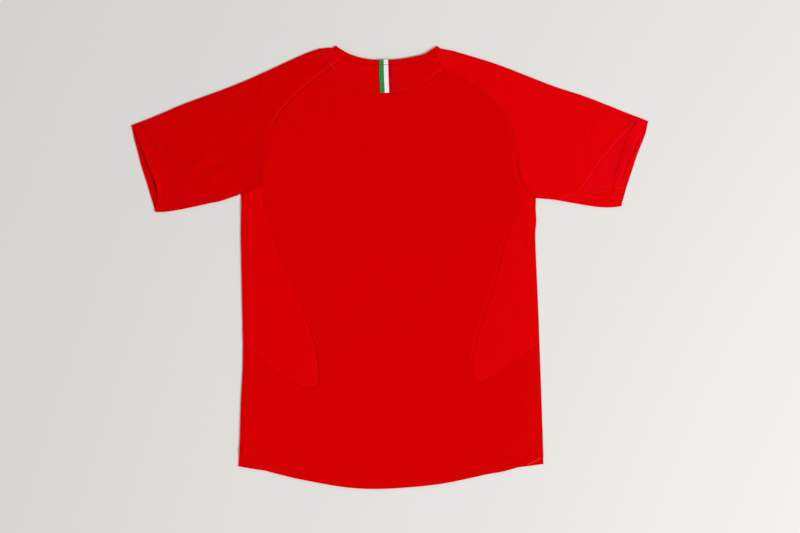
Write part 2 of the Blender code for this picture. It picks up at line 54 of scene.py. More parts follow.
# the cloth itself, all lengths in metres
cloth = {
    "thickness": 0.7 * mm,
    "cellTop": 2.4 * mm,        # mesh size of the layer that shows
    "cellBack": 2.9 * mm,       # the same on the large back
    "cellUnder": 4.5 * mm,      # and of the layer on the floor
    "insets": (0.9 * mm, 2.2 * mm),  # rows of points beside every edge
    "foldSteps": 8,             # round a folded edge
    "foldReach": 1.9 * mm,      # how far a fold stands out
    "foldRadius": 1.6 * mm,     # for the area of the cloth in a fold
    "foldMatch": 4 * mm,        # ends of a fold, above and below, that belong together
    "cornerAngle": 50,          # degrees, sharper turns of an outline stay corners
    "sameCorner": 1.3 * mm,     # corners of neighbours that are this close are one
    "seamReach": 1.2 * mm,      # outlines this close are sewn together
    "topHeight": 3.3 * mm,      # outer face of the upper layer
    "lowest": 1.5 * mm,         # where it sinks to this, it rests on the lower layer
    "restSoft": 0.2 * mm,       # and comes to rest this softly
}

# how a seam shapes the two pieces beside it; its allowances lie under one of them, the over side
seamShape = {
    "dip": 1.0 * mm, "overDip": 0.6, "reach": 25 * mm,
    "ridge": 0.32 * mm, "ridgeAt": 3.2 * mm, "ridgeEnd": 5.5 * mm, "ridgeWidth": 2.0 * mm, "underRidge": 0.25,
    "pucker": 0.26 * mm, "puckerReach": 6.5 * mm, "puckerPitch": 8.0 * mm,
    "overlap": 0.6 * mm, "overOverlap": 0.2,
}

# how deep each seam sinks, how high its sides stand, how much it puckers, its thread and width in mm
SeamLook = namedtuple("SeamLook", "dip ridge pucker thread width", defaults=(1.15,))
plainSeam = SeamLook(1.0, 0.3, 0.6, "red")
# some seams' thread colours are painted shade in their grooves, others real thread that also carries a
# painted highlight
seamLooks = {
    ("back_panel", "sleeve_left"): SeamLook(1.35, 0.15, 0.4, "pink"),
    ("back_panel", "sleeve_right"): SeamLook(1.45, 0.15, 0.5, "pink"),
    ("back_panel", "back_yoke"): SeamLook(0.95, 0.25, 0.35, "rose"),
    ("back_panel", "side_panel_left"): SeamLook(0.95, 0.1, 0.4, "dark"),
    ("back_panel", "side_panel_right"): SeamLook(0.9, 0.1, 0.5, "rose"),
    ("back_yoke", "neckband"): SeamLook(1.5, 0.2, 0.4, "dark", 1.45),
    ("back_yoke", "shoulder_yoke_left"): SeamLook(0.5, 0.15, 0.4, "rose"),
    ("back_yoke", "shoulder_yoke_right"): SeamLook(1.2, 0.2, 1.2, "dark"),
    ("neckband", "shoulder_yoke_left"): SeamLook(1.9, 0.3, 0.3, "dark", 1.5),
    ("neckband", "shoulder_yoke_right"): SeamLook(1.3, 0.2, 0.7, "dark", 1.4),
    ("shoulder_yoke_left", "sleeve_left"): SeamLook(0.5, 0.1, 0.5, "pink"),
    ("shoulder_yoke_right", "sleeve_right"): SeamLook(0.25, 0.05, 0.4, "rose"),
    ("side_panel_right", "sleeve_right"): SeamLook(1.5, 0.3, 0.4, "pink", 1.4),
    ("cuff_gusset_left", "sleeve_left"): SeamLook(2.1, 0.15, 0.4, "rose", 1.25),
    ("cuff_gusset_right", "sleeve_right"): SeamLook(0.4, 0.55, 0.4, "pink"),
}

# stretches of seam that hardly show: middle and reach on the plan, and what is left of the seam
quietStretches = [
    (-190, 20, 70, 110, 0.15), (205, -168, 38, 45, 0.3), (205, 95, 25, 30, 0.5),
    (-211, 182, 22, 62, 0.35), (-333, 135, 22, 25, 0.4), (112, 330, 26, 24, 0.3)]

# turned hems: depth of the turned cloth, its rows of stitches with their grooves, its step on the face,
# and how its open edge waves and sags
hemShape = {"depth": 20 * mm, "rows": (9.8 * mm, 15.0 * mm), "groove": 0.5 * mm,
            "cuffDepth": 13 * mm, "cuffRows": (10.0 * mm, 11.8 * mm), "cuffGroove": 0.22 * mm,
            "rightCuffDepth": 21 * mm, "rightCuffRows": (19.3 * mm,), "rightCuffGroove": 0.8 * mm,
            "grooveWidth": 0.75 * mm, "beside": (-1.3 * mm, -0.6 * mm, 0, 0.6 * mm, 1.3 * mm),
            "step": 0.35 * mm, "stepWidth": 1.2 * mm,
            "wave": 0.1 * mm, "wavePitch": 11 * mm, "waveReach": 5 * mm,
            "sag": 0.9 * mm, "sagReach": 16 * mm, "cuffSag": 0.35}

# the upper layer drops towards its folded edges before it turns
foldRound = {"drop": 0.55 * mm, "reach": 3.2 * mm}

# the pieces settle a little as they are laid: middle, shift and reach in mm, by the layers that do
nudges = {"both": [
    (-424, 176, -3.0, 0, 40, 34), (-432, 216, -2.2, 0, 16, 20), (-405, 247, 0, -1.2, 18, 14),
    (-397, 98, 1.5, 0, 14, 16), (-383, 262, 0, -1.2, 22, 25), (-350, 95, 0, -3.0, 70, 30),
    (-237, 122, 0, -2.2, 28, 20), (-250, 312, 0, -1.8, 105, 45), (-252, 100, 0.9, 0, 20, 25),
    (-250, -220, -1.8, 0, 30, 50), (-252, -328, 0, -1.4, 10, 14), (-225, -338, 0, -2.5, 22, 18),
    (-210, 198, 2.2, 0, 25, 38), (-119, -364, 0, 1.5, 45, 25), (-92, 372, 2.6, 0.2, 10, 9),
    (-10, 292, 1.1, 0, 22, 24), (64, 360, 0, -2.6, 14, 12), (90, -372, 0, -1.2, 45, 20),
    (203, -346, 0, -4.0, 24, 20), (215, 158, -4.8, 0, 25, 27), (228, 130, 1.4, 0, 14, 10),
    (250, 119, -2.0, -2.0, 14, 10), (258, 84, 3.2, 0, 30, 18), (262, -120, 1.2, 0, 40, 190),
    (330, 285, 0, 1.5, 75, 40), (330, 98, 0, -2.6, 60, 30), (391, 118, 1.7, 0, 16, 20),
    (391, 103, 1.8, 1.0, 12, 12), (412, 160, 2.2, 0, 40, 40), (435, 245, 1.7, 0, 14, 12),
], "upper": [
    (238, -326, 0, -8.0, 22, 18), (350, 131, 0, 2.4, 45, 12), (398, 146, 0, 5.5, 18, 11),
    (-397, 116, 1.0, 0, 10, 14),
], "lower": [
    (259, -332, 1.7, 0, 14, 14), (-254, -335, -2.4, 0, 14, 8),
]}


def spread(plan, x, y, reachX, reachY):
    # how far each point is from this place, measured in its reach
    return (plan[:, 0] / mm - x) / reachX, (plan[:, 1] / mm - y) / reachY


def settle(places, up):
    moved = places[:, :2].copy()
    for x, y, dx, dy, reachX, reachY in nudges["both"] + nudges["upper" if up else "lower"]:
        x, y = spread(places, x, y, reachX, reachY)
        moved += np.exp(-x**2 - y**2)[:, None] * np.array([dx, dy]) * mm
    return moved


# what tells the outer faces of a solid from its walls
reading = {"weld": 0.01 * mm, "flat": 0.965, "topAbove": 1.8 * mm, "floorBelow": 0.3 * mm, "foldTilt": 0.5}


def readRing(node, up):
    # the edge of the outer faces that look up, or down: plan points, heights and which edges are folds
    solid = bmesh.new()
    solid.from_mesh(frame["nodes"][node].data)
    bmesh.ops.remove_doubles(solid, verts=solid.verts, dist=reading["weld"])
    solid.normal_update()
    region = set()
    for face in solid.faces:
        height, tilt = face.calc_center_median().z, face.normal.z
        if up and tilt > reading["flat"] and height > reading["topAbove"]:
            region.add(face)
        if not up and tilt < -reading["flat"] and height < reading["floorBelow"]:
            region.add(face)
    follow = {}
    for face in region:
        for loop in face.loops:
            other = [f for f in loop.edge.link_faces if f is not face][0]
            if other not in region:
                folded = abs(other.normal.z) > reading["foldTilt"]
                follow[loop.vert] = (loop.link_loop_next.vert, folded)
    if not follow:
        solid.free()
        return None
    ring = []
    vert = min(follow, key=lambda v: tuple(v.co))
    while vert in follow:
        nextVert, folded = follow.pop(vert)
        ring.append((vert.co.copy(), folded))
        vert = nextVert
    places = np.array([v.co[:] for v in solid.verts])
    solid.free()
    if not up:  # seen from below it runs the other way round
        ring = [(ring[i][0], ring[i - 1][1]) for i in range(len(ring) - 1, -1, -1)]
    at = np.array([p[:] for p, _ in ring])
    at[:, :2] = settle(at, up)
    places[:, :2] = settle(places, up)
    return {"at": at, "folded": [f for _, f in ring], "solid": places, "up": up}


def turnAngles(ring):
    plan = ring["at"][:, :2]
    before = plan - np.roll(plan, 1, axis=0)
    after = np.roll(plan, -1, axis=0) - plan
    cross = before[:, 0] * after[:, 1] - before[:, 1] * after[:, 0]
    return np.degrees(np.abs(np.arctan2(cross, (before * after).sum(axis=1))))


def sharpCorners(ring):
    turned = turnAngles(ring) > cloth["cornerAngle"]
    changed = [ring["folded"][i - 1] != ring["folded"][i] for i in range(len(turned))]
    return [i for i in range(len(turned)) if turned[i] or changed[i]]


# where a fold shows in the solids: points halfway down its edge, and points where it ends on the floor
foldSearch = {"halfway": 0.22, "near": 1.35 * mm, "far": 3.3 * mm, "outwards": 0.55,
              "floor": 0.05 * mm, "foot": 0.5 * mm, "footAtEnd": 12 * mm, "upright": 2 * mm}


def foldVectors(ring, picked, k):
    # from a point on a fold line: out to the folded edge, and to where the fold ends below
    place = ring["at"][picked[k]]
    before, after = picked[max(k - 1, 0)], picked[min(k + 1, len(picked) - 1)]
    along = ring["at"][after, :2] - ring["at"][before, :2]
    outwards = np.array([along[1], -along[0]]) / np.hypot(*along)
    steps = ring["solid"][:, :2] - place[:2]
    gap = np.linalg.norm(steps, axis=1)
    height = ring["solid"][:, 2]
    middle = np.abs(height - place[2] / 2) < foldSearch["halfway"] * place[2]
    middle &= (gap > foldSearch["near"]) & (gap < foldSearch["far"])
    middle &= steps @ outwards > foldSearch["outwards"] * gap
    footReach = foldSearch["footAtEnd" if k in (0, len(picked) - 1) else "foot"]
    foot = (height < foldSearch["floor"]) & (gap < footReach)
    toEdge = steps[middle][np.argmin(gap[middle])] if middle.any() else None
    toFoot = steps[foot][np.argmin(gap[foot])] if foot.any() else None
    return toEdge, toFoot, outwards


def fillIn(vectors, spare):
    # a point without its own vector takes its neighbours'
    known = [k for k, vector in enumerate(vectors) if vector is not None]
    if not known:
        return np.array(spare)
    found = np.array([vectors[k] for k in known])
    return np.column_stack([np.interp(range(len(vectors)), known, found[:, c]) for c in range(2)])


def smoothRun(points, step=None, count=None):
    # an even curve through the points, all columns alike, at this step or with this many steps
    points = np.asarray(points, float)
    chords = np.maximum(np.linalg.norm(np.diff(points[:, :2], axis=0), axis=1), 1e-9)
    knots = np.append(0, np.cumsum(chords))
    slopes = np.gradient(points, knots, axis=0)
    count = count or max(2, round(knots[-1] / step))
    at = np.linspace(0, knots[-1], count + 1)
    span = np.clip(np.searchsorted(knots, at, side="right") - 1, 0, len(chords) - 1)
    h = chords[span][:, None]
    t = ((at - knots[span])[:, None]) / h
    a, b = points[span], points[span + 1]
    m0, m1 = slopes[span] * h, slopes[span + 1] * h
    return ((2 * t**3 - 3 * t**2 + 1) * a + (t**3 - 2 * t**2 + t) * m0
            + (3 * t**2 - 2 * t**3) * b + (t**3 - t**2) * m1)


def lengthsAlong(points):
    return np.append(0, np.cumsum(np.linalg.norm(np.diff(points, axis=0), axis=1)))


def splitRuns(ring, corners, step):
    # smooth stretches of the outline, each a seam, an open edge or a fold
    count = len(ring["at"])
    split = []
    for first, last in zip(corners, corners[1:] + [corners[0] + count]):
        picked = [i % count for i in range(first, last + 1)]
        rows = ring["at"][picked, :2]
        folded = ring["folded"][first]
        if folded and ring["up"]:
            vectors = [foldVectors(ring, picked, k) for k in range(len(picked))]
            toEdge = fillIn([v[0] for v in vectors], [v[2] * cloth["foldReach"] for v in vectors])
            toFoot = fillIn([v[1] for v in vectors], [v[2] * 0 for v in vectors])
            slant = np.where(np.linalg.norm(toFoot, axis=1) < foldSearch["upright"], 0.5, 0)[:, None]
            rows = np.hstack([rows, toEdge - slant * toFoot, toFoot])
        split.append({"folded": folded, "points": smoothRun(rows, step), "partner": None})
    return split


rings, corners = {}, {}
for node in frame["nodes"]:
    for up in (True, False):
        ring = readRing(node, up)
        if ring:
            rings[node, up] = ring
            corners[node, up] = sharpCorners(ring)

# where three pieces meet, the outline of each has a corner
sharpPlaces = {True: [], False: []}
for (node, up), ring in rings.items():
    sharpPlaces[up] += [ring["at"][i, :2] for i in corners[node, up]]
for key, ring in rings.items():
    if key[0] == "neck_tape":
        continue
    places = np.array(sharpPlaces[key[1]])
    gaps = np.linalg.norm(ring["at"][:, None, :2] - places[None], axis=2).min(axis=1)
    near = [i for i in range(len(gaps)) if gaps[i] < cloth["sameCorner"]]
    kept = []
    for i in sorted(set(near) | set(corners[key])):
        if kept and i == kept[-1] + 1 and i not in corners[key]:
            continue
        kept.append(i)
    corners[key] = kept

edgeStep = dict.fromkeys(frame["nodes"], 3.0 * mm)
edgeStep.update(neckband=0.8 * mm, neck_tape=1.2 * mm)
runs = {key: splitRuns(ring, corners[key], edgeStep[key[0]]) for key, ring in rings.items()}

for key, own in runs.items():
    for run in own:
        middle = run["points"][len(run["points"]) // 2, :2]
        for other, theirs in runs.items():
            if other[0] == key[0] or other[1] != key[1] or "neck_tape" in (key[0], other[0]):
                continue
            gap = min(np.linalg.norm(r["points"][:, :2] - middle, axis=1).min() for r in theirs)
            if gap < cloth["seamReach"] + edgeStep[other[0]] / 2:
                run["partner"] = other[0]
print("outlines read:", sum(len(r) for r in runs.values()), "edges")


# creases of the upper layer in mm: from one end to the other, the sideways bow of the middle,
# the half width and the height, with troughs below nought
creases = [
    # on the sleeves
    (-347, 151, -296, 198, 3, 12, 0.7), (-308, 205, -274, 229, -2, 10, -0.4),
    (-317, 138, -254, 182, 4, 11, 0.6), (-326, 151, -261, 190, 3, 8, -0.3),
    (-217, 249, -238, 204, 3, 11, -0.4), (-302, 227, -277, 203, 2, 8, -0.35),
    (-287, 187, -259, 160, -2, 8, -0.35), (-210, 331, -226, 282, 2, 6, 0.4),
    (-243, 130, -217, 134, 2, 7, 1.0), (-262, 122, -244, 127, -1, 5, -0.5),
    (-208, 200, -211, 136, 3, 8, 0.6), (-356, 146, -343, 126, 1, 7, 0.5),
    (-383, 148, -357, 131, -2, 8, -0.4), (-384, 120, -355, 113, 1, 4, -0.45),
    (330, 252, 376, 240, -3, 17, 0.9), (349, 269, 395, 252, 2, 9, -0.45), (220, 318, 251, 300, 2, 10, -0.4),
    (102, 357, 140, 320, 2, 9, 0.55), (138, 323, 184, 280, 4, 9, 0.45), (110, 352, 162, 335, -2, 9, -0.35),
    (327, 238, 337, 226, 1, 5, 0.5), (212, 198, 223, 138, -5, 9, -0.45), (221, 186, 238, 132, -6, 8, 1.0),
    (330, 113, 386, 117, -3, 12, 0.8), (293, 118, 324, 108, 1, 6, -0.5), (368, 187, 377, 162, -1, 4, -0.4),
    (338, 149, 350, 129, 1, 4, -0.35), (341, 132, 358, 129, 1, 4, 0.4), (-434, 226, -402, 130, 1, 15, 3.4),
    (-399, 170, -391, 118, 0, 10, 1.1), (-402, 150, -400, 95, 0, 9, 2.2), (418, 222, 388, 136, 2, 13, 1.9),
    (420.5, 215, 398.3, 156, -2, 2.4, 0.9), (433, 242, 387, 136, -1.5, 2.0, -1.1),
    (424, 256, 412, 228, 0, 5, 0.7), (398, 262, 402, 238, 0, 6, -1.4), (300, 297, 412, 251, 0, 4, -1.3),
    (233.5, 139, 251.5, 122.5, 0, 1.8, 0.8), (381, 262, 410, 246, 0, 8, -0.8),
    (215, 188, 240, 119, -8, 3.2, -1.1), (286, 116, 320, 126, 0, 1.4, -0.4),
    (-212, 180, -215, 128, 0, 3.4, 0.7), (-252, 126, -239, 119, 0, 1.8, 0.9),
    (-250, 127.5, -240, 127, 0, 2.0, -0.9), (-241, 130, -226, 130, 0, 2.2, 0.6),
    # on the body
    (-144, -212, -115, -229, 2, 11, 0.5), (-151, -226, -122, -243, 2, 6, -0.3),
    (98, -229, 135, -208, 3, 11, 0.5), (105, -246, 139, -262, 3, 7, -0.35),
    (-224, -56, -200, -70, 2, 13, -0.3), (-152, -140, -17, 62, 9, 26, 0.5), (8, -191, 135, 29, 8, 28, 0.4),
    (-152, 190, 152, 181, 6, 16, 0.4), (-120, 158, 96, 150, -5, 12, -0.25),
    (-60, 325, 50, 330, -3, 28, 0.35), (16, 300, 87, 345, -9, 6, 0.4), (93, 315, 24, 294, -5, 5, 0.35),
    (81, 335, 91, 318, 1, 5, -0.45), (-98, 371, -90, 340, 1, 16, 0.7), (85, 370, 88, 340, -1, 16, 0.7),
    (-217, 118, -217, 82, 1, 6, -0.35), (-211, 78, -195, 31, 2, 8, -0.35), (220, 73, 240, -40, 3, 9, -0.35),
    (237, -55, 242, -108, 1, 6, -0.4), (212, -207, 247, -277, 3, 9, 0.4),
    (-243, -190, -226, -290, 3, 10, 0.35), (-238, -262, -196, -316, -3, 8, -0.35),
    (-60, -262, 30, -240, 4, 18, 0.3), (175, -292, 232, -312, -2, 9, 0.4),
    (-246, -318, -208, -343, 0, 9, 0.9), (214, -338, 250, -322, 0, 9, 0.6),
    (-248, -301, -246, -320, 0, 5, 1.7), (-246.8, 123, -247.2, 84, 0, 2.4, 1.7),
    (-5, 352, -5, 300, 0, 38, -1.0), (-84, 358, -25, 343, -2.6, 2.0, -0.45),
    (63, 359, 91, 341, 0, 1.5, -0.5), (67, 359.5, 81, 347, 0, 1.8, 1.0), (84, 344, 92, 338, 0, 2.2, 0.9),
]

# the layer on the floor has a few of its own, which lift off the floor
frontCreases = [
    (-150, 120, 120, 60, 8, 22, 0.35), (-120, -180, -20, 40, 9, 20, 0.3), (60, -260, 160, -60, 8, 24, 0.35),
    (-230, 60, -190, -40, 3, 10, 0.3), (215, 90, 235, -50, 3, 11, 0.3), (-390, 190, -300, 150, 4, 12, 0.35),
    (300, 150, 395, 190, 4, 12, 0.35), (-200, -240, -90, -290, 4, 14, 0.3),
    (437, 240, 398, 152, -1, 2.6, 1.0),
]

# they run out softly past their ends, and one flank is steeper; one narrower than sharp has rows of points
# of its own, this far beside its middle in its half widths
creaseForm = {"depth": 1.35, "past": 0.1, "taper": 1.4, "steep": 0.75, "gentle": 1.1,
              "sharp": 3.6, "rowStep": 2.2 * mm, "beside": (-1.5, -0.75, 0, 0.75, 1.5)}

# the cloth never lies quite even, least of all on the sleeves and, a little less, on the side panels;
# pit and side say in mm how far up each of these starts and over what length it grows
ripple = {"length": 75 * mm, "height": 0.2 * mm, "fineLength": 20 * mm, "fineHeight": 0.07 * mm,
          "stretch": 1.5, "slant": 0.5, "seeds": (3.1, 8.7),
          "sleeveHeight": 0.4 * mm, "sleeveFrom": 190 * mm, "sleeveBy": 240 * mm,
          "pit": (85, 20), "side": (-200, 40), "sidePanel": 0.6}


def smoothStep(x):
    x = np.clip(x, 0, 1)
    return x * x * (3 - 2 * x)


def rise(x, start, length):
    return smoothStep((x - start) / length)


def creaseHeight(plan, rows):
    x, y = plan[:, 0] / mm, plan[:, 1] / mm
    total = np.zeros(len(plan))
    for x0, y0, x1, y1, bow, width, height in rows:
        length = np.hypot(x1 - x0, y1 - y0)
        u = ((x - x0) * (x1 - x0) + (y - y0) * (y1 - y0)) / length**2
        across = ((y - y0) * (x1 - x0) - (x - x0) * (y1 - y0)) / length
        share = np.clip(u * (1 - 2 * creaseForm["past"]) + creaseForm["past"], 0, 1)
        ends = np.sin(np.pi * share) ** creaseForm["taper"]
        offset = across - bow * 4 * u * (1 - u)
        width = width * np.where(offset > 0, creaseForm["steep"], creaseForm["gentle"])
        total += height * ends * np.exp(-(offset / width) ** 2)
    return total * mm * creaseForm["depth"]


def rippleHeight(plan):
    onSleeve = rise(np.abs(plan[:, 0]), ripple["sleeveFrom"], ripple["sleeveBy"] - ripple["sleeveFrom"])
    height = plan[:, 1] / mm
    onSleeve *= np.maximum(rise(height, *ripple["pit"]), ripple["sidePanel"] * rise(height, *ripple["side"]))
    fineHeights = ripple["fineHeight"] + (ripple["sleeveHeight"] - ripple["fineHeight"]) * onSleeve
    slant, fineLength = ripple["slant"], ripple["fineLength"]
    heights = np.empty(len(plan))
    for i, (x, y) in enumerate(plan):
        broadAt = (x / ripple["length"], y / ripple["length"], ripple["seeds"][0])
        fineX = (x - y * slant) / fineLength / ripple["stretch"]
        fineAt = (fineX, (y + abs(x) * slant) / fineLength, ripple["seeds"][1])
        broad, fine = noise.noise(Vector(broadAt)), noise.noise(Vector(fineAt))
        heights[i] = broad * ripple["height"] + fine * fineHeights[i]
    return heights


def uneven(s, pitch, seed):
    # a wave that keeps changing its pitch and its height, over about four and six of its own lengths
    slow, slower = 2 * np.pi * s / (4.3 * pitch), 2 * np.pi * s / (6.1 * pitch)
    phase = 2 * np.pi * s / pitch + 1.9 * np.sin(slow + seed)
    return np.sin(phase + 1.7 * seed) * (0.6 + 0.4 * np.sin(slower + 2.3 * seed))


# a seam's allowances lie under the piece of the higher rank
overRank = {"cuff_gusset": 0, "side_panel": 1, "back_panel": 2, "front_panel": 2, "sleeve": 3,
            "shoulder_yoke": 4, "back_yoke": 5, "neckband": 6}

openEdges = {"hemBelow": -300 * mm, "cuffBeyond": 385 * mm}


def sideless(node):
    return node.removesuffix("_left").removesuffix("_right")


def isOver(node, partner):
    return bool(partner) and overRank[sideless(node)] > overRank[sideless(partner)]


def freeKind(node, points):
    middle = points[:, :2].mean(axis=0)
    if node == "neckband":
        return "neck"
    if "panel" in node and middle[1] < openEdges["hemBelow"]:
        return "hem"
    if ("sleeve" in node or "gusset" in node) and abs(middle[0]) > openEdges["cuffBeyond"]:
        return "cuff"
    return "plain"


for (node, up), own in runs.items():
    for run in own:
        free = "seam" if run["partner"] else freeKind(node, run["points"])
        run["kind"] = "fold" if run["folded"] else free


def treeOf(points):
    tree = KDTree(len(points))
    for i, (x, y) in enumerate(points):
        tree.insert((x, y, 0), i)
    tree.balance()
    return tree


def distances(tree, plan):
    return np.array([tree.find((x, y, 0))[2] for x, y in plan])


def turnings(node):
    # kind of edge, depth of the turned cloth, its rows of stitches and how far they sink
    right = "right" in node and "panel" not in node
    words = [("rightCuff" if right else "cuff") + word for word in ("Depth", "Rows", "Groove")]
    return (("hem", *(hemShape[word] for word in ("depth", "rows", "groove"))),
            ("cuff", *(hemShape[word] for word in words)))


def lookOf(node, partner):
    return seamLooks.get(tuple(sorted((node, partner or ""))), plainSeam)


def seamLeft(plan):
    # how much of a seam's relief is left at each point: it comes back near the end of a quiet stretch
    left = np.ones(len(plan))
    for *stretch, least in quietStretches:
        x, y = spread(plan, *stretch)
        left *= least + (1 - least) * rise(np.maximum(abs(x), abs(y)), 0.8, 0.4)
    return left


EdgePoint = namedtuple("EdgePoint", "x y at over seed dip ridge pucker width")
nowhere = 1.0     # the distance in metres to an edge that a piece doesn't have


def nearestEdge(node, up, kind, plan):
    # for each point: how far it is from the piece's edges of this kind, and the edge point that is nearest
    rows = []
    for k, run in enumerate(runs.get((node, up), [])):
        if run["kind"] != kind:
            continue
        fine = smoothRun(run["points"][:, :2], 0.6 * mm)
        over = isOver(node, run["partner"])
        seed = (k + 1) * (1.31 if over else 0.77)
        look = lookOf(node, run["partner"])
        rows += [(*p, at, over, seed, look.dip * left, look.ridge * left, look.pucker * left, look.width)
                 for p, at, left in zip(fine, lengthsAlong(fine), seamLeft(fine))]
    if not rows:
        return np.full(len(plan), nowhere), EdgePoint(*np.ones((len(EdgePoint._fields), len(plan))))
    table = np.array(rows)
    tree = treeOf(table[:, :2])
    hits = [tree.find((x, y, 0)) for x, y in plan]
    return np.array([hit[2] for hit in hits]), EdgePoint(*table[[hit[1] for hit in hits]].T)


def sideways(points, distance):
    # the line moved to its left, which is into its piece
    along = np.gradient(points[:, :2], axis=0)
    along /= np.maximum(np.linalg.norm(along, axis=1), 1e-9)[:, None]
    return points[:, :2] + np.column_stack([-along[:, 1], along[:, 0]]) * distance


foldLines = [smoothRun(run["points"][:, :2], 0.8 * mm) for key, own in runs.items() if key[1]
             for run in own if run["kind"] == "fold"]
foldTree = treeOf(np.vstack(foldLines))


def seamRelief(node, up, plan):
    d, edge = nearestEdge(node, up, "seam", plan)
    over = edge.over > 0.5
    dip = seamShape["dip"] * edge.dip * np.where(over, seamShape["overDip"], 1.0)
    dip *= np.exp(-(d / (edge.width * mm)) ** 2)
    ridge = seamShape["ridge"] * edge.ridge * np.where(over, 1.0, seamShape["underRidge"])
    fall = 1 - rise(d, seamShape["ridgeEnd"], seamShape["ridgeWidth"])
    ridge *= smoothStep(d / seamShape["ridgeAt"]) * fall
    pucker = uneven(edge.at, seamShape["puckerPitch"], edge.seed) * edge.pucker
    pucker = pucker * seamShape["pucker"] * np.exp(-d / seamShape["puckerReach"])
    return np.where(d < seamShape["reach"], ridge - dip + pucker, 0)


def hemRelief(node, up, plan):
    # the turned cloth stands a little higher, with a groove along every row of stitches
    total, doubled = np.zeros(len(plan)), np.zeros(len(plan))
    for kind, depth, rows, groove in turnings(node):
        d, edge = nearestEdge(node, up, kind, plan)
        inHem = 1 - smoothStep((d - depth) / hemShape["stepWidth"] + 0.5)
        doubled = np.maximum(doubled, inHem)
        total += hemShape["step"] * inHem
        for at in rows:
            total -= groove * np.exp(-((d - at) / hemShape["grooveWidth"]) ** 2)
        wave = hemShape["wave"] * uneven(edge.at, hemShape["wavePitch"], 2.0)
        total += wave * np.exp(-((d - rows[-1]) / hemShape["waveReach"]) ** 2)
        sagging = hemShape["sag"] * (1 - smoothStep(d / hemShape["sagReach"]))
        total -= np.where(d < nowhere, sagging, 0) * (1.0 if kind == "hem" else hemShape["cuffSag"])
    return total, doubled


ribs = {"pitch": 1.6 * mm, "height": 0.13 * mm, "lift": 0.35 * mm, "round": 0.45 * mm, "roundWidth": 0.9 * mm,
        "wave": 0.18 * mm, "wavePitch": 5.5 * mm, "swellLength": 9 * mm, "rowsAcross": 12}


def ribRelief(up, plan):
    d, edge = nearestEdge("neckband", up, "neck", plan)
    rib = 0.5 - 0.5 * np.cos(2 * np.pi * edge.at / ribs["pitch"])
    swell = 0.8 + 0.2 * np.sin(edge.at / ribs["swellLength"])
    rounded = ribs["round"] * np.exp(-(d / ribs["roundWidth"]) ** 2)
    wavy = ribs["wave"] * uneven(edge.at, ribs["wavePitch"], 0.6)
    return ribs["lift"] + ribs["height"] * rib * swell - rounded + wavy


def topHeight(node, plan):
    heights = cloth["topHeight"] + creaseHeight(plan, creases) + rippleHeight(plan)
    heights += seamRelief(node, True, plan)
    heights -= foldRound["drop"] * np.exp(-(distances(foldTree, plan) / foldRound["reach"]) ** 2)
    relief, doubled = hemRelief(node, True, plan)
    if node == "neckband":
        heights += ribRelief(True, plan)
        doubled[:] = 1
    lowest, soft = cloth["lowest"], cloth["restSoft"]
    return lowest + soft * np.logaddexp(0, (heights + relief - lowest) / soft), doubled


# the layer on the floor: its lift, and the shares of the relief that lift it further
under = {"lift": 0.15 * mm, "seam": 0.6, "hem": 0.4, "rib": 0.5, "foldReach": 9 * mm}


def lowHeight(node, plan):
    heights = creaseHeight(plan, frontCreases) + under["lift"]
    heights -= np.minimum(seamRelief(node, False, plan), 0) * under["seam"]
    relief, doubled = hemRelief(node, False, plan)
    heights -= np.minimum(relief, 0) * under["hem"]
    if node == "neckband":
        heights -= ribRelief(False, plan) * under["rib"]
        doubled[:] = 1
    heights *= smoothStep(nearestEdge(node, False, "fold", plan)[0] / under["foldReach"])
    return np.maximum(heights, 0), doubled


def joinRuns(own):
    outline = np.vstack([run["points"][:-1, :2] for run in own])
    starts = np.append(0, np.cumsum([len(run["points"]) - 1 for run in own]))
    return outline, starts[:-1]


def area(outline):
    x, y = outline[:, 0], outline[:, 1]
    return abs((x * np.roll(y, -1) - y * np.roll(x, -1)).sum()) / 2


def inside(outline, points):
    hits = np.zeros(len(points), int)
    for (ax, ay), (bx, by) in zip(outline, np.roll(outline, -1, axis=0)):
        crossing = (ay > points[:, 1]) != (by > points[:, 1])
        if ay != by:
            hits += crossing & (points[:, 0] < ax + (bx - ax) * (points[:, 1] - ay) / (by - ay))
    return hits % 2 == 1


def inwards(outline):
    along = np.roll(outline, -1, axis=0) - np.roll(outline, 1, axis=0)
    along /= np.maximum(np.linalg.norm(along, axis=1), 1e-9)[:, None]
    return np.column_stack([-along[:, 1], along[:, 0]])


def fineRows(node, up):
    # rows of points along stitch grooves, turned edges and pressed creases, which the even grid would miss
    rows = []
    beside = hemShape["beside"]
    for run in runs[node, up]:
        for kind, depth, atRows, _ in turnings(node):
            if run["kind"] == kind:
                rows += [sideways(run["points"], at + gap) for at in atRows for gap in beside]
                rows += [sideways(run["points"], depth + gap) for gap in beside[1::2]]
    for x0, y0, x1, y1, bow, width, _ in creases if up else frontCreases:
        if width < creaseForm["sharp"]:
            start, end = np.array([x0, y0]) * mm, np.array([x1, y1]) * mm
            length = np.linalg.norm(end - start)
            along = (end - start) / length
            u = np.linspace(0, 1, max(3, int(length / creaseForm["rowStep"])))[:, None]
            for gap in creaseForm["beside"]:
                offset = (bow * 4 * u * (1 - u) + gap * width) * mm
                rows.append(start + (end - start) * u + np.array([-along[1], along[0]]) * offset)
    return np.vstack(rows) if rows else np.empty((0, 2))


# how close the points of the grid may come, to the outline in shares of an inset or cell, and to fine rows
spacing = {"outline": 0.5 * mm, "inset": 0.8, "cell": 0.55, "gridToRow": 1.0 * mm, "insetToRow": 0.35 * mm}


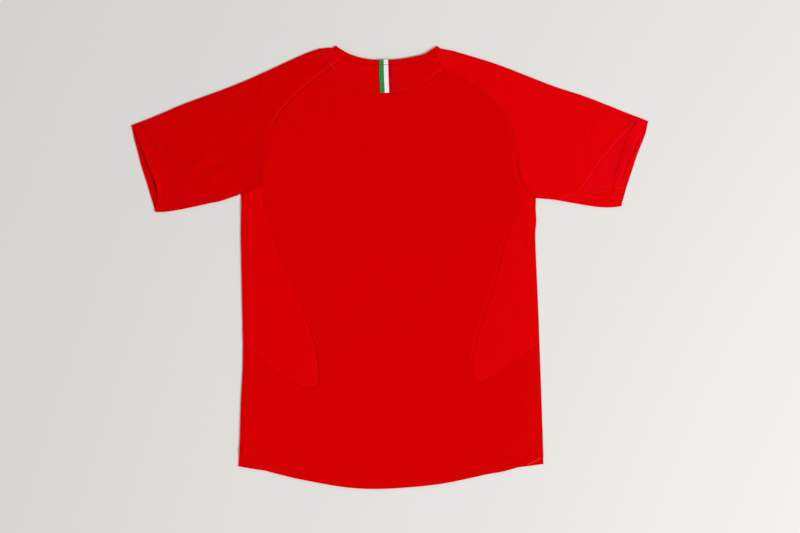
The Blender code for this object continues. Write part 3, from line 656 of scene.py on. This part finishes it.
def innerPoints(outline, cell, insets, rows):
    fine = np.vstack([np.linspace(a, b, max(2, int(np.hypot(*(b - a)) / spacing["outline"]) + 1))[:-1]
                      for a, b in zip(outline, np.roll(outline, -1, axis=0))])
    tree = treeOf(fine)

    def clear(points, gap):
        points = points[inside(outline, points)]
        return points[distances(tree, points) > gap]

    lines = [clear(outline + inwards(outline) * inset, spacing["inset"] * inset) for inset in insets]
    low, high = outline.min(axis=0), outline.max(axis=0)
    xs = np.arange(low[0] + cell / 2, high[0], cell)
    ys = np.arange(low[1] + cell / 2, high[1], cell)
    grid = np.array([(x, y) for y in ys for x in xs]).reshape(-1, 2)
    grid = clear(grid, insets[-1] + spacing["cell"] * cell)
    rows = clear(rows, spacing["inset"] * insets[0])
    if len(rows):
        rowTree = treeOf(rows)
        grid = grid[distances(rowTree, grid) > spacing["gridToRow"]]
        lines = [line[distances(rowTree, line) > spacing["insetToRow"]] for line in lines] + [rows]
    return np.vstack(lines + [grid])


def bandPoints(own):
    # rows along the neckband, so that its ribs run straight across it
    start = [i for i, run in enumerate(own) if run["kind"] == "seam" and own[i - 1]["kind"] != "seam"][0]
    own = own[start:] + own[:start]
    seam, free = (np.vstack([run["points"][:-1, :2] for run in own if run["kind"] == kind])
                  for kind in ("seam", "neck"))
    first = smoothRun(seam, count=len(seam))
    second = smoothRun(free[::-1], count=len(seam))
    shares = np.linspace(0, 1, ribs["rowsAcross"] + 2)[1:-1]
    return np.vstack([(first + (second - first) * share)[1:-1] for share in shares])


def addPatch(mesh, outline, extra, heightOf, layer, up):
    plan = np.vstack([outline, extra])
    count = len(outline)
    edges = [(i, (i + 1) % count) for i in range(count)]
    verts, _, faces, source, _, _ = delaunay_2d_cdt([Vector(p) for p in plan / mm], edges, [], 1, 0.001)
    heights, doubled = heightOf(plan)
    placed, byInput = [], {}
    for k in range(len(verts)):
        i = source[k][0]
        for j in source[k]:
            byInput[j] = k
        new = mesh.verts.new((plan[i, 0], plan[i, 1], heights[i]))
        new[layer][0] = 0.5 + 0.5 * float(doubled[i])
        placed.append(new)
    made = [mesh.faces.new([placed[k] for k in (face if up else reversed(face))]) for face in faces]
    mesh.normal_update()
    bmesh.ops.join_triangles(mesh, faces=made, angle_face_threshold=0.3, angle_shape_threshold=0.6)
    return [placed[byInput[i]] for i in range(count)]


def foldRows(mesh, layer, upperLine, run, lowerLine):
    # the cloth goes round the fold, from the upper layer to the floor
    def newRow(share, bulge):
        row = []
        for vert, (x, y, ox, oy, fx, fy) in zip(upperLine, run["points"]):
            place = (x + fx * share + ox * bulge, y + fy * share + oy * bulge, vert.co.z * (1 - share))
            row.append(mesh.verts.new(place))
            row[-1][layer][0] = vert[layer][0]
        return row

    angles = [math.pi * k / cloth["foldSteps"] for k in range(1, cloth["foldSteps"])]
    rows = [upperLine] + [newRow((1 - math.cos(angle)) / 2, math.sin(angle)) for angle in angles]
    rows.append(lowerLine or newRow(1, 0))
    for upper, lower in zip(rows, rows[1:]):
        for j in range(len(upper) - 1):
            mesh.faces.new([upper[j], lower[j], lower[j + 1], upper[j + 1]])


def matchFolds(node):
    # the lower outline takes its fold points from the upper one, so that the two layers join
    pairs = {}
    upper, lower = runs.get((node, True), []), runs.get((node, False), [])
    for i, run in enumerate(upper):
        if not run["folded"]:
            continue
        foot = run["points"][:, :2] + run["points"][:, 4:6]
        for j, other in enumerate(lower):
            if not other["folded"]:
                continue
            ends = other["points"][[0, -1], :2]
            same = np.linalg.norm(ends - foot[[0, -1]], axis=1).max()
            turned = np.linalg.norm(ends - foot[[-1, 0]], axis=1).max()
            if min(same, turned) > cloth["foldMatch"]:
                continue
            other["points"] = foot if same < turned else foot[::-1]
            lower[j - 1]["points"][-1, :2] = other["points"][0]
            lower[(j + 1) % len(lower)]["points"][0, :2] = other["points"][-1]
            pairs[i] = (j, same < turned)
    return pairs


def closeSeamGap(node, own):
    # the lower of two neighbours reaches under the other along their seam
    for run in own:
        if run["kind"] == "seam":
            share = seamShape["overOverlap"] if isOver(node, run["partner"]) else 1.0
            run["points"][:, :2] = sideways(run["points"], -seamShape["overlap"] * share)


def addObject(name, data):
    added = bpy.data.objects.new(name, data)
    bpy.context.scene.collection.objects.link(added)
    return added


def addCloth(name, mesh):
    data = bpy.data.meshes.new(name)
    mesh.to_mesh(data)
    mesh.free()
    piece = addObject(name, data)
    piece.vertex_groups.new(name="layers")
    return piece


def stretchOf(line, start, count):
    return [line[(start + k) % len(line)] for k in range(count)]


def makeCloth(node):
    mesh = bmesh.new()
    layer = mesh.verts.layers.deform.verify()
    pairs = matchFolds(node)
    lines, starts, flatArea = {}, {}, 0
    for up in (True, False):
        own = runs.get((node, up))
        if not own:
            continue
        closeSeamGap(node, own)
        outline, starts[up] = joinRuns(own)
        flatArea += area(outline)
        if node == "neckband":
            extra = bandPoints(own)
        else:
            cell = "cellUnder" if not up else "cellBack" if node == "back_panel" else "cellTop"
            extra = innerPoints(outline, cloth[cell], cloth["insets"], fineRows(node, up))
        heightOf = partial(topHeight if up else lowHeight, node)
        lines[up] = addPatch(mesh, outline, extra, heightOf, layer, up)
    for i, run in enumerate(runs.get((node, True), [])):
        if not run["folded"]:
            continue
        count = len(run["points"])
        upper = stretchOf(lines[True], starts[True][i], count)
        lower = None
        if i in pairs:
            j, same = pairs[i]
            lower = stretchOf(lines[False], starts[False][j], count)[::1 if same else -1]
        foldRows(mesh, layer, upper, run, lower)
        flatArea += lengthsAlong(run["points"][:, :2])[-1] * math.pi * cloth["foldRadius"]
    return addCloth(node + "_cloth", mesh), flatArea


def giveThickness(piece, thickness):
    # each vertex weighs a half where the cloth is single and one where it is turned
    solid = piece.modifiers.new("thickness", "SOLIDIFY")
    solid.thickness = 2 * thickness
    solid.offset = -1
    solid.use_quality_normals = True
    solid.vertex_group = "layers"
    bpy.ops.object.select_all(action="DESELECT")
    bpy.context.view_layer.objects.active = piece
    piece.select_set(True)
    bpy.ops.object.modifier_apply(modifier=solid.name)
    piece.vertex_groups.clear()
    bpy.ops.object.shade_smooth_by_angle(angle=math.radians(48))
    piece.select_set(False)


def surfaceOf(piece):
    finished = bmesh.new()
    finished.from_mesh(piece.data)
    surface = BVHTree.FromBMesh(finished)
    finished.free()
    return surface


pieces, cutAreas, surfaces = {}, {}, {}
for node in frame["nodes"]:
    if node == "neck_tape":
        continue
    piece, cutAreas[node] = makeCloth(node)
    giveThickness(piece, cloth["thickness"])
    surfaces[node] = surfaceOf(piece)
    pieces[node] = piece
    print("cloth:", node, len(piece.data.polygons), "faces")

tape = {"thickness": 0.55 * mm, "gap": 0.08 * mm, "across": 28, "along": 90, "around": 2,
        "edgeDrop": 0.18 * mm, "edgeShare": 0.03, "above": 1.5 * mm}
rayStart = 30 * mm      # well above the jersey, and as far below it


def clothBelow(x, y, names):
    start, down = Vector((x, y, rayStart)), Vector((0, 0, -1))
    hits = [surfaces[name].ray_cast(start, down)[0] for name in names]
    found = [hit.z for hit in hits if hit and hit.z > tape["above"]]
    return max(found) if found else None


def makeTape():
    # its sides are the runs furthest to the left and to the right, both taken from the neck downwards
    own = sorted(runs["neck_tape", True], key=lambda run: run["points"][:, 0].mean())
    sides = []
    for line in (own[0]["points"], own[-1]["points"]):
        sides.append(smoothRun(line if line[0, 1] > line[-1, 1] else line[::-1], count=tape["along"]))
    shares = np.linspace(0, 1, tape["across"] + 1)
    plan = sides[0][:, None] + (sides[1] - sides[0])[:, None] * shares[None, :, None]
    below = ["neckband", "back_yoke", "back_panel"]
    heights = np.array([[clothBelow(x, y, below) or np.nan for x, y in line] for line in plan])
    heights = np.where(np.isnan(heights), np.nanmax(heights), heights)
    # it spans the hollows between the cloths below
    padded = np.pad(heights, tape["around"], mode="edge")
    steps = range(2 * tape["around"] + 1)
    window = [padded[i:i + heights.shape[0], j:j + heights.shape[1]] for i in steps for j in steps]
    heights = np.maximum((np.max(window, axis=0) + np.mean(window, axis=0)) / 2, heights)
    heights += tape["gap"] + tape["thickness"]
    heights -= tape["edgeDrop"] * np.exp(-(np.minimum(shares, 1 - shares) / tape["edgeShare"]) ** 2)
    mesh = bmesh.new()
    layer = mesh.verts.layers.deform.verify()
    uvs = mesh.loops.layers.uv.new("weave")
    grid = []
    for line, lineHeights in zip(plan, heights):
        grid.append([mesh.verts.new((*place, height)) for place, height in zip(line, lineHeights)])
    for vert in mesh.verts:
        vert[layer][0] = 0.5
    for i in range(len(grid) - 1):
        for j in range(len(shares) - 1):
            around = [(j, i), (j, i + 1), (j + 1, i + 1), (j + 1, i)]
            face = mesh.faces.new([grid[along][across] for across, along in around])
            for loop, (across, along) in zip(face.loops, around):
                loop[uvs].uv = (across / tape["across"], along / tape["along"])
    piece = addCloth("neck_tape_weave", mesh)
    giveThickness(piece, tape["thickness"])
    return piece


pieces["neck_tape"] = makeTape()
surfaces["neck_tape"] = surfaceOf(pieces["neck_tape"])
cutAreas["neck_tape"] = area(joinRuns(runs["neck_tape", True])[0])
print("tape done")


# stitches in mm: pitch, length, width and height of one, and how far its row lies beside a seam
Stitch = namedtuple("Stitch", "pitch length width height beside", defaults=(None,))
stitches = {name: Stitch(*(size * mm for size in sizes)) for name, sizes in {
    "hem": (3.2, 2.5, 0.42, 0.16), "cuff": (3.0, 2.3, 0.4, 0.16),
    "seam": (2.6, 2.1, 0.4, 0.15, 1.0), "neck": (2.6, 2.0, 0.38, 0.16, 1.5),
    "over": (2.4, 2.2, 0.75, 0.22), "fine": (2.2, 1.9, 0.5, 0.18), "ditch": (2.4, 2.6, 1.05, 0.2)}.items()}
sewing = {"sides": 5, "trim": 0.5 * mm, "leastLeft": 0.4}

# the rings of one stitch, which dives into the cloth at both ends: place along it, girth and lift
stitchRings = [(-0.5, 0.35, -0.5), (-0.28, 0.9, 0.35), (0.0, 1.0, 0.6), (0.28, 0.9, 0.35), (0.5, 0.35, -0.5)]


def stitchShape(size):
    verts, faces = [], []
    sides = sewing["sides"]
    for along, girth, lift in stitchRings:
        for k in range(sides):
            angle = 2 * math.pi * k / sides + math.pi / 2
            verts.append((along * size.length, math.cos(angle) * girth * size.width / 2,
                          lift * size.height + math.sin(angle) * girth * size.height / 2))
    for r in range(len(stitchRings) - 1):
        for k in range(sides):
            a, b = r * sides + k, r * sides + (k + 1) % sides
            faces.append((a, a + sides, b + sides, b))
    faces.append(tuple(range(sides)))
    faces.append(tuple(reversed(range(len(verts) - sides, len(verts)))))
    return np.array(verts), faces


def besideRun(points, distance):
    # the run moved into its piece by this distance, and cut off a little at both ends
    moved = sideways(points, distance)
    s = lengthsAlong(moved)
    kept = (s >= sewing["trim"]) & (s <= s[-1] - sewing["trim"])
    return moved[kept] if kept.sum() > 2 else moved


def sew(rows, name):
    # every row: path on the plan, pieces that it may lie on, the side that it shows on, its stitch and thread
    verts, faces, used = [], [], []
    for path, onto, up, size, thread in rows:
        shape, shapeFaces = stitchShape(size)
        count = max(1, round(lengthsAlong(path)[-1] / size.pitch))
        line = smoothRun(path, count=count * 2)
        direction = -1 if up else 1
        for k in range(count):
            middle = line[2 * k + 1]
            if size.beside and seamLeft(middle[None])[0] < sewing["leastLeft"]:
                continue
            start = Vector((*middle, -rayStart * direction))
            hits = [surfaces[n].ray_cast(start, Vector((0, 0, direction))) for n in onto]
            hits = [hit for hit in hits if hit[0] is not None]
            if not hits:
                continue
            place, normal = min(hits, key=lambda hit: hit[3])[:2]
            normal = normal * (1 if normal.z * direction < 0 else -1)
            along = Vector((*(line[2 * k + 2] - line[2 * k]), 0))
            along = (along - normal * along.dot(normal)).normalized()
            turn = np.array([along[:], normal.cross(along)[:], normal[:]])
            first = sum(len(v) for v in verts)
            placed = shape @ turn + np.array(place[:])
            placed[:, 2] -= min(0, placed[:, 2].min())      # it stays off the floor
            verts.append(placed)
            faces += [tuple(first + i for i in face) for face in shapeFaces]
            used += [thread] * len(shapeFaces)
    data = bpy.data.meshes.new(name)
    data.from_pydata(np.vstack(verts).tolist(), [], faces)
    data.update()
    names = sorted(set(used))
    for polygon, thread in zip(data.polygons, used):
        polygon.use_smooth = True
        polygon.material_index = names.index(thread)
    return addObject(name, data), names


# short rows that don't follow an outline: the piece that they belong to, what they lie on, their stitch,
# their thread and their points in mm
neckCloths = ["back_panel", "back_yoke", "sleeve_left", "shoulder_yoke_left"]
rollCloths = ["sleeve_right", "cuff_gusset_right"]
cuffCloths = ["sleeve_left", "cuff_gusset_left"]
pitCloths = ["side_panel_left", "back_panel", "sleeve_left"]
yokeCloths = ["back_yoke", "back_panel"]
looseRows = [
    ("sleeve_right", ["sleeve_right"], "seam", "pink", [(287, 116.3), (302, 121), (318, 125.4)]),
    ("sleeve_right", rollCloths, "fine", "pink", [(311.3, 120), (322.6, 118.7)]),
    ("sleeve_right", rollCloths, "fine", "pink", [(343.3, 126.6), (352.7, 127.5)]),
    ("sleeve_right", rollCloths, "fine", "pink", [(362.1, 128.5), (368.7, 130)]),
    ("sleeve_right", rollCloths, "fine", "pink", [(382.9, 133.2), (397.8, 135.4)]),
    ("sleeve_left", ["sleeve_left"], "over", "pink", [(-420.5, 187.5), (-417, 182)]),
    ("sleeve_left", neckCloths, "over", "pink", [(-102, 345.3), (-99.5, 343), (-94, 335)]),
    ("sleeve_left", neckCloths, "over", "pink", [(-101, 340.7), (-91, 347.5)]),
    ("sleeve_left", cuffCloths, "fine", "pink", [(-393, 206), (-373, 184)]),
    ("sleeve_left", ["sleeve_left", "back_panel"], "fine", "rose",
     [(-205.5, 228), (-209.5, 210), (-210, 190), (-211, 175)]),
    # these ditch rows are painted shade in the groove beside the tape and in the two armpit hollows
    ("neckband", ["neck_tape"], "ditch", "dark", [(-18.8, 342.8), (4.2, 342.8)]),
    ("sleeve_right", ["sleeve_right", "side_panel_right"], "ditch", "dark", [(242, 119), (249, 117)]),
    ("sleeve_left", ["sleeve_left", "side_panel_left"], "ditch", "dark", [(-252.5, 124), (-247.5, 122.5)]),
    ("side_panel_left", pitCloths, "fine", "pink",
     [(-214.8, 128.5), (-219.7, 124.2), (-222.4, 118.3), (-219.7, 112.9), (-215.9, 101.7)]),
    ("back_panel", ["back_panel", "side_panel_right"], "over", "pale",
     [(233, -334), (243, -329), (256, -322.5)]),
    ("back_panel", ["back_panel", "front_panel"], "over", "rose",
     [(-240, -327), (-228, -333), (-211.5, -341)]),
    ("back_yoke", yokeCloths, "fine", "pink", [(87.6, 334.9), (83.2, 330.5)]),
    ("back_yoke", yokeCloths, "neck", "dark", [(6.2, 304.6), (16.6, 304.6)]),
    ("back_yoke", yokeCloths, "neck", "dark", [(16.6, 304.6), (16.6, 295.4)]),
    ("back_yoke", yokeCloths, "neck", "dark", [(16.6, 295.4), (4.5, 295.4)]),
]

threads, threadNames = {}, {}
for node in frame["nodes"]:
    rows = []
    for up in (True, False):
        for run in runs.get((node, up), []):
            for kind, _, atRows, _ in turnings(node):
                if run["kind"] == kind:
                    rows += [(besideRun(run["points"], at), [node], up, stitches[kind], "red")
                             for at in atRows]
            if run["kind"] == "seam" and isOver(node, run["partner"]):
                size = stitches["neck" if node == "neckband" else "seam"]
                onto = [node, "neck_tape"] if up and node == "neckband" else [node]
                thread = lookOf(node, run["partner"]).thread
                rows.append((besideRun(run["points"], size.beside), onto, up, size, thread))
    rows += [(np.array(points) * mm, onto, True, stitches[size], thread)
             for owner, onto, size, thread, points in looseRows if owner == node]
    if rows:
        threads[node], threadNames[node] = sew(rows, node + "_stitches")
print("stitches:", sum(len(t.data.polygons) for t in threads.values()), "faces")


def newMaterial(name):
    material = bpy.data.materials.new(name)
    material.use_nodes = True
    return material, material.node_tree, material.node_tree.nodes["Principled BSDF"]


def fill(tree, shaderNode, inputs):
    # numbers and colours go on its sockets, and outputs of other nodes are linked
    for socket, given in inputs.items():
        if isinstance(given, bpy.types.NodeSocket):
            tree.links.new(given, shaderNode.inputs[socket])
        else:
            shaderNode.inputs[socket].default_value = given


def addNode(tree, kind, inputs, **settings):
    added = tree.nodes.new("ShaderNode" + kind)
    for setting, given in settings.items():
        setattr(added, setting, given)
    fill(tree, added, inputs)
    return added.outputs


def value(tree, operation, *given):
    return addNode(tree, "Math", dict(enumerate(given)), operation=operation)[0]


def clamped(tree, given):
    return value(tree, "MINIMUM", value(tree, "MAXIMUM", given, 0.0), 1.0)


def coordinates(tree, angle=0.0):
    place = addNode(tree, "TexCoord", {})["Object"]
    turned = addNode(tree, "Mapping", {"Vector": place, "Rotation": (0, 0, math.radians(angle))})[0]
    return (turned, *addNode(tree, "SeparateXYZ", {0: turned})[:2])


def mottle(tree, vector, size, detail=2.0):
    return addNode(tree, "TexNoise", {"Vector": vector, "Scale": 1 / size, "Detail": detail})["Fac"]


def yarnShade(tree, vector, look):
    # the yarn's own unevenness, and a shade of that and the broader patches of the cloth
    yarn, patches = mottle(tree, vector, look["yarn"]), mottle(tree, vector, look["patch"], 3.0)
    ofYarn, ofPatches = look["shares"]
    return yarn, value(tree, "MULTIPLY_ADD", yarn, ofYarn, value(tree, "MULTIPLY", patches, ofPatches))


def colourMix(tree, share, low, high):
    low, high = ((*given, 1) if isinstance(given, tuple) else given for given in (low, high))
    return addNode(tree, "Mix", {0: share, 6: low, 7: high}, data_type="RGBA")[2]


def bump(tree, height, distance, strength):
    return addNode(tree, "Bump", {"Height": height, "Distance": distance, "Strength": strength})[0]


redGloss = (1.0, 0.0, 0.003, 1)


def finishCloth(tree, shader, look, colour, height, strength):
    fill(tree, shader, {"Base Color": colour, "Roughness": look["roughness"], "Specular IOR Level": 0.2,
                        "Specular Tint": redGloss, "Sheen Weight": look["sheen"], "Sheen Roughness": 0.45,
                        "Sheen Tint": redGloss, "Normal": bump(tree, height, look["relief"], strength)})


# the cloth's deep and light colours, scaled by a brightness that is partly painted light and shade, with
# painted sheen added as a touch of bluish red
def tonesWithPaintedLight(look, toneAndPaintedLight=1.0, paintedSheenBlue=0.0):
    return [(r * toneAndPaintedLight, g, b + paintedSheenBlue) for r, g, b in (look["deep"], look["colour"])]


jersey = {"colour": (0.655, 0.0, 0.0004), "deep": (0.60, 0.0, 0.0002), "wale": 0.95 * mm, "course": 0.72 * mm,
          "slant": 1.3, "relief": 0.10 * mm, "roughness": 0.62, "sheen": 0.10,
          "yarn": 2.6 * mm, "patch": 28 * mm, "shares": (0.35, 0.45), "nearHem": (-11.0, -1.4)}


def jerseyKnit(name, angle, toneAndPaintedLight, paintedSheenBlue, paintedLightFade=0.0):
    # narrow columns of V-shaped loops
    material, tree, shader = newMaterial(name)
    maths = partial(value, tree)
    vector, x, y = coordinates(tree, angle)
    column = maths("FRACT", maths("DIVIDE", x, jersey["wale"]))
    fromMiddle = maths("ABSOLUTE", maths("SUBTRACT", column, 0.5))
    slanted = maths("MULTIPLY", fromMiddle, jersey["slant"])
    row = maths("ADD", maths("DIVIDE", y, jersey["course"]), slanted)
    loop = maths("SINE", maths("MULTIPLY", row, 2 * math.pi))
    crest = maths("SUBTRACT", 1.0, maths("POWER", maths("MULTIPLY", fromMiddle, 2.0), 2.0))
    height = maths("MULTIPLY", crest, maths("MULTIPLY_ADD", loop, 0.25, 0.75))
    yarn, shade = yarnShade(tree, vector, jersey)
    # painted shade: the colour follows the loops' relief, a little darker between their crests
    shade = maths("MULTIPLY_ADD", height, 0.2, shade)
    if paintedLightFade:    # painted light: the colour is lighter to the left, most of all near the hem
        low = clamped(tree, maths("MULTIPLY_ADD", y, *jersey["nearHem"]))
        paintedLightSlope = maths("MULTIPLY", x, maths("MULTIPLY_ADD", low, -paintedLightFade, -paintedLightFade))
        shade = maths("ADD", shade, maths("SUBTRACT", paintedLightSlope, 0.2))
    colour = colourMix(tree, shade, *tonesWithPaintedLight(jersey, toneAndPaintedLight, paintedSheenBlue))
    finishCloth(tree, shader, jersey, colour, height, 0.55)
    fill(tree, shader, {"Roughness": maths("MULTIPLY_ADD", yarn, 0.12, jersey["roughness"] - 0.06)})
    return material


openMesh = {"colour": (0.78, 0.0, 0.0012), "deep": (0.66, 0.0, 0.0006), "paintedHoleShade": (0.40, 0.0, 0.0004),
            "pitch": 2.3 * mm, "rows": 1.15 * mm, "holeSize": 0.16, "holeFrom": 0.55, "relief": 0.16 * mm,
            "roughness": 0.7, "sheen": 0.12, "yarn": 2.2 * mm, "patch": 26 * mm, "shares": (0.4, 0.6)}


def meshKnit(name, angle, toneAndPaintedLight, paintedSheenBlue):
    # small holes in staggered rows between fine ribs
    material, tree, shader = newMaterial(name)
    maths = partial(value, tree)
    vector, x, y = coordinates(tree, angle)
    row = maths("DIVIDE", y, openMesh["rows"])
    shift = maths("MULTIPLY", maths("MODULO", maths("FLOOR", row), 2.0), 0.5)
    column = maths("ADD", maths("DIVIDE", x, openMesh["pitch"]), shift)
    u = maths("SUBTRACT", maths("FRACT", column), 0.5)
    v = maths("SUBTRACT", maths("FRACT", row), 0.5)
    v = maths("MULTIPLY", v, openMesh["rows"] / openMesh["pitch"])
    gap = maths("SQRT", maths("ADD", maths("MULTIPLY", u, u), maths("MULTIPLY", v, v)))
    gap = maths("SUBTRACT", gap, openMesh["holeSize"] * openMesh["holeFrom"])
    solid = clamped(tree, maths("DIVIDE", gap, openMesh["holeSize"]))
    shade = yarnShade(tree, vector, openMesh)[1]
    face = colourMix(tree, shade, *tonesWithPaintedLight(openMesh, toneAndPaintedLight, paintedSheenBlue))
    # painted shade: the holes take a deep red, as the layer beneath them lies in shade
    finishCloth(tree, shader, openMesh, colourMix(tree, solid, openMesh["paintedHoleShade"], face), solid, 0.6)
    return material


ribCloth = {"colour": (0.665, 0.0, 0.0004), "deep": (0.59, 0.0, 0.0002), "loop": 0.5 * mm,
            "relief": 0.08 * mm, "roughness": 0.7, "sheen": 0.12,
            "yarn": 1.4 * mm, "patch": 18 * mm, "shares": (0.5, 0.5)}


def ribKnit(name):
    material, tree, shader = newMaterial(name)
    vector, _, y = coordinates(tree)
    yarn, shade = yarnShade(tree, vector, ribCloth)
    loop = value(tree, "SINE", value(tree, "MULTIPLY", y, 2 * math.pi / ribCloth["loop"]))
    height = value(tree, "MULTIPLY_ADD", loop, 0.3, yarn)
    finishCloth(tree, shader, ribCloth, colourMix(tree, shade, *tonesWithPaintedLight(ribCloth)), height, 0.5)
    return material


# green, white and red in thirds, from left to right, each in one colour
stripes = [(0.0, (0.03, 0.25, 0.05)), (1 / 3, (0.85, 0.85, 0.85)), (2 / 3, (0.48, 0.0, 0.004))]
weave = {"picks": 110, "warps": 34, "relief": 0.08 * mm, "ragged": 0.02, "raggedSize": 0.5 * mm,
         "wearSize": 5 * mm, "roughness": 0.65}


def tapeWeave(name):
    # lengthways stripes in a ribbed weave, on the tape's own UV map
    material, tree, shader = newMaterial(name)
    maths = partial(value, tree)
    across, along = addNode(tree, "SeparateXYZ", {0: addNode(tree, "UVMap", {}, uv_map="weave")[0]})[:2]
    ramp = tree.nodes.new("ShaderNodeValToRGB")
    ramp.color_ramp.interpolation = "CONSTANT"
    while len(ramp.color_ramp.elements) < len(stripes):
        ramp.color_ramp.elements.new(1.0)
    for element, (stop, colour) in zip(ramp.color_ramp.elements, stripes):
        element.position = stop
        element.color = (*colour, 1)
    vector = addNode(tree, "TexCoord", {})["Object"]
    ragged = maths("SUBTRACT", mottle(tree, vector, weave["raggedSize"]), 0.5)
    tree.links.new(maths("MULTIPLY_ADD", ragged, weave["ragged"], across), ramp.inputs[0])
    pick = maths("SINE", maths("MULTIPLY", along, 2 * math.pi * weave["picks"]))
    warp = maths("SINE", maths("MULTIPLY", across, 2 * math.pi * weave["warps"]))
    height = maths("MULTIPLY_ADD", maths("MULTIPLY", pick, warp), 0.5, pick)
    wear = mottle(tree, vector, weave["wearSize"], 3.0)
    # painted shade: the weave's hollows are a little darker in colour; the wear mottle is the tape's own
    # uneven brightness
    shade = maths("MULTIPLY_ADD", wear, 0.35, maths("MULTIPLY_ADD", height, 0.08, 0.82))
    colour = addNode(tree, "HueSaturation", {"Color": ramp.outputs[0], "Value": shade})[0]
    fill(tree, shader, {"Base Color": colour, "Roughness": weave["roughness"], "Specular IOR Level": 0.04,
                        "Normal": bump(tree, height, weave["relief"], 0.5)})
    return material


yarns = {"ply": 0.35 * mm, "relief": 0.05 * mm, "shade": 0.7, "roughness": 0.55, "sheen": 0.1}


def threadMaterial(name, colour):
    material, tree, shader = newMaterial(name)
    ply = mottle(tree, coordinates(tree)[0], yarns["ply"])
    deep = tuple(c * yarns["shade"] for c in colour)
    finishCloth(tree, shader, yarns, colourMix(tree, ply, deep, colour), ply, 0.5)
    return material


# how each piece is cut and coloured: angle of its grain; its brightness, partly the cloth's own and partly
# painted light and shade, with the right-hand sleeve, gusset and shoulder lighter and the left-hand ones
# darker; a touch of bluish red, which is painted sheen; and a painted light slope, lighter to the left
grainToneAndPaintedLight = {"back_panel": (0, 1.0, 0.0, 1.2), "front_panel": (0, 1.0, 0.0), "back_yoke": (0, 0.95, 0.0),
        "shoulder_yoke_left": (-20, 0.97, 0.0), "shoulder_yoke_right": (20, 1.03, 0.001),
        "sleeve_left": (-62, 0.945, 0.0), "sleeve_right": (62, 1.08, 0.001),
        "cuff_gusset_left": (-66, 0.89, 0.0), "cuff_gusset_right": (66, 1.055, 0.0035),
        "side_panel_left": (-4, 1.01, 0.0), "side_panel_right": (4, 0.985, 0.0)}

slots = {part["node"]: part["material_slot"] for part in frame["record"]["subparts"]}
# the deepest thread colour is painted shade, laid where seams sink into grooves and in the armpit hollows
threadColours = {"dark": (0.30, 0.0, 0.001), "red": (0.60, 0.0, 0.001), "rose": (0.72, 0.006, 0.015),
                 # the pinkish and rosy threads are real thread whose light colour is also a painted highlight
                 # along the seams
                 "pink": (0.80, 0.03, 0.06), "pale": (0.80, 0.11, 0.13)}
threadMaterials = {name: threadMaterial(name + "_thread", colour) for name, colour in threadColours.items()}
for node, piece in pieces.items():
    if slots[node] == "jersey_knit":
        material = jerseyKnit("jersey_knit_" + node, *grainToneAndPaintedLight[node])
    elif slots[node] == "mesh_knit":
        material = meshKnit("mesh_knit_" + node, *grainToneAndPaintedLight[node])
    elif slots[node] == "rib_knit":
        material = ribKnit("rib_knit_" + node)
    else:
        material = tapeWeave("woven_" + node)
    piece.data.materials.append(material)
for node, thread in threads.items():
    for name in threadNames[node]:
        thread.data.materials.append(threadMaterials[name])
print("materials done")


# each piece and its stitches hang from the root, and the solid that it stands for is hidden
for node, piece in pieces.items():
    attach(piece, "root")
    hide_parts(node)
    trims = [threads[node]] if node in threads else []
    for thread in trims:
        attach(thread, "root")


studio = {"key": (3.9, -1.8, 3.9), "keySize": 2.1, "keyPower": 283, "fill": 0.5, "floor": (0.72, 0.705, 0.68),
          "floorSize": 12, "cameraHeight": 1.883, "cameraOver": (0.0176, 0.00135)}
bpy.ops.mesh.primitive_plane_add(size=studio["floorSize"], location=(0, 0, -0.05 * mm))
floor = bpy.context.object
floor.name = "floor"
material, tree, shader = newMaterial("floor_paint")
fill(tree, shader, {"Base Color": (*studio["floor"], 1), "Roughness": 0.75})
floor.data.materials.append(material)

keyData = bpy.data.lights.new("key", "AREA")
keyData.size = studio["keySize"]
keyData.energy = studio["keyPower"]
key = addObject("key", keyData)
key.location = studio["key"]
key.rotation_euler = (-Vector(studio["key"])).to_track_quat("-Z", "Y").to_euler()

world = bpy.data.worlds.new("studio")
world.use_nodes = True
background = world.node_tree.nodes["Background"]
fill(world.node_tree, background, {"Color": (1, 1, 1, 1), "Strength": studio["fill"]})
bpy.context.scene.world = world

cameraData = bpy.data.cameras.new("camera")
cameraData.lens = 50
cameraData.sensor_width = 36
camera = addObject("camera", cameraData)
camera.location = (*studio["cameraOver"], studio["cameraHeight"])
bpy.context.scene.camera = camera
bpy.context.scene.view_settings.view_transform = "Standard"
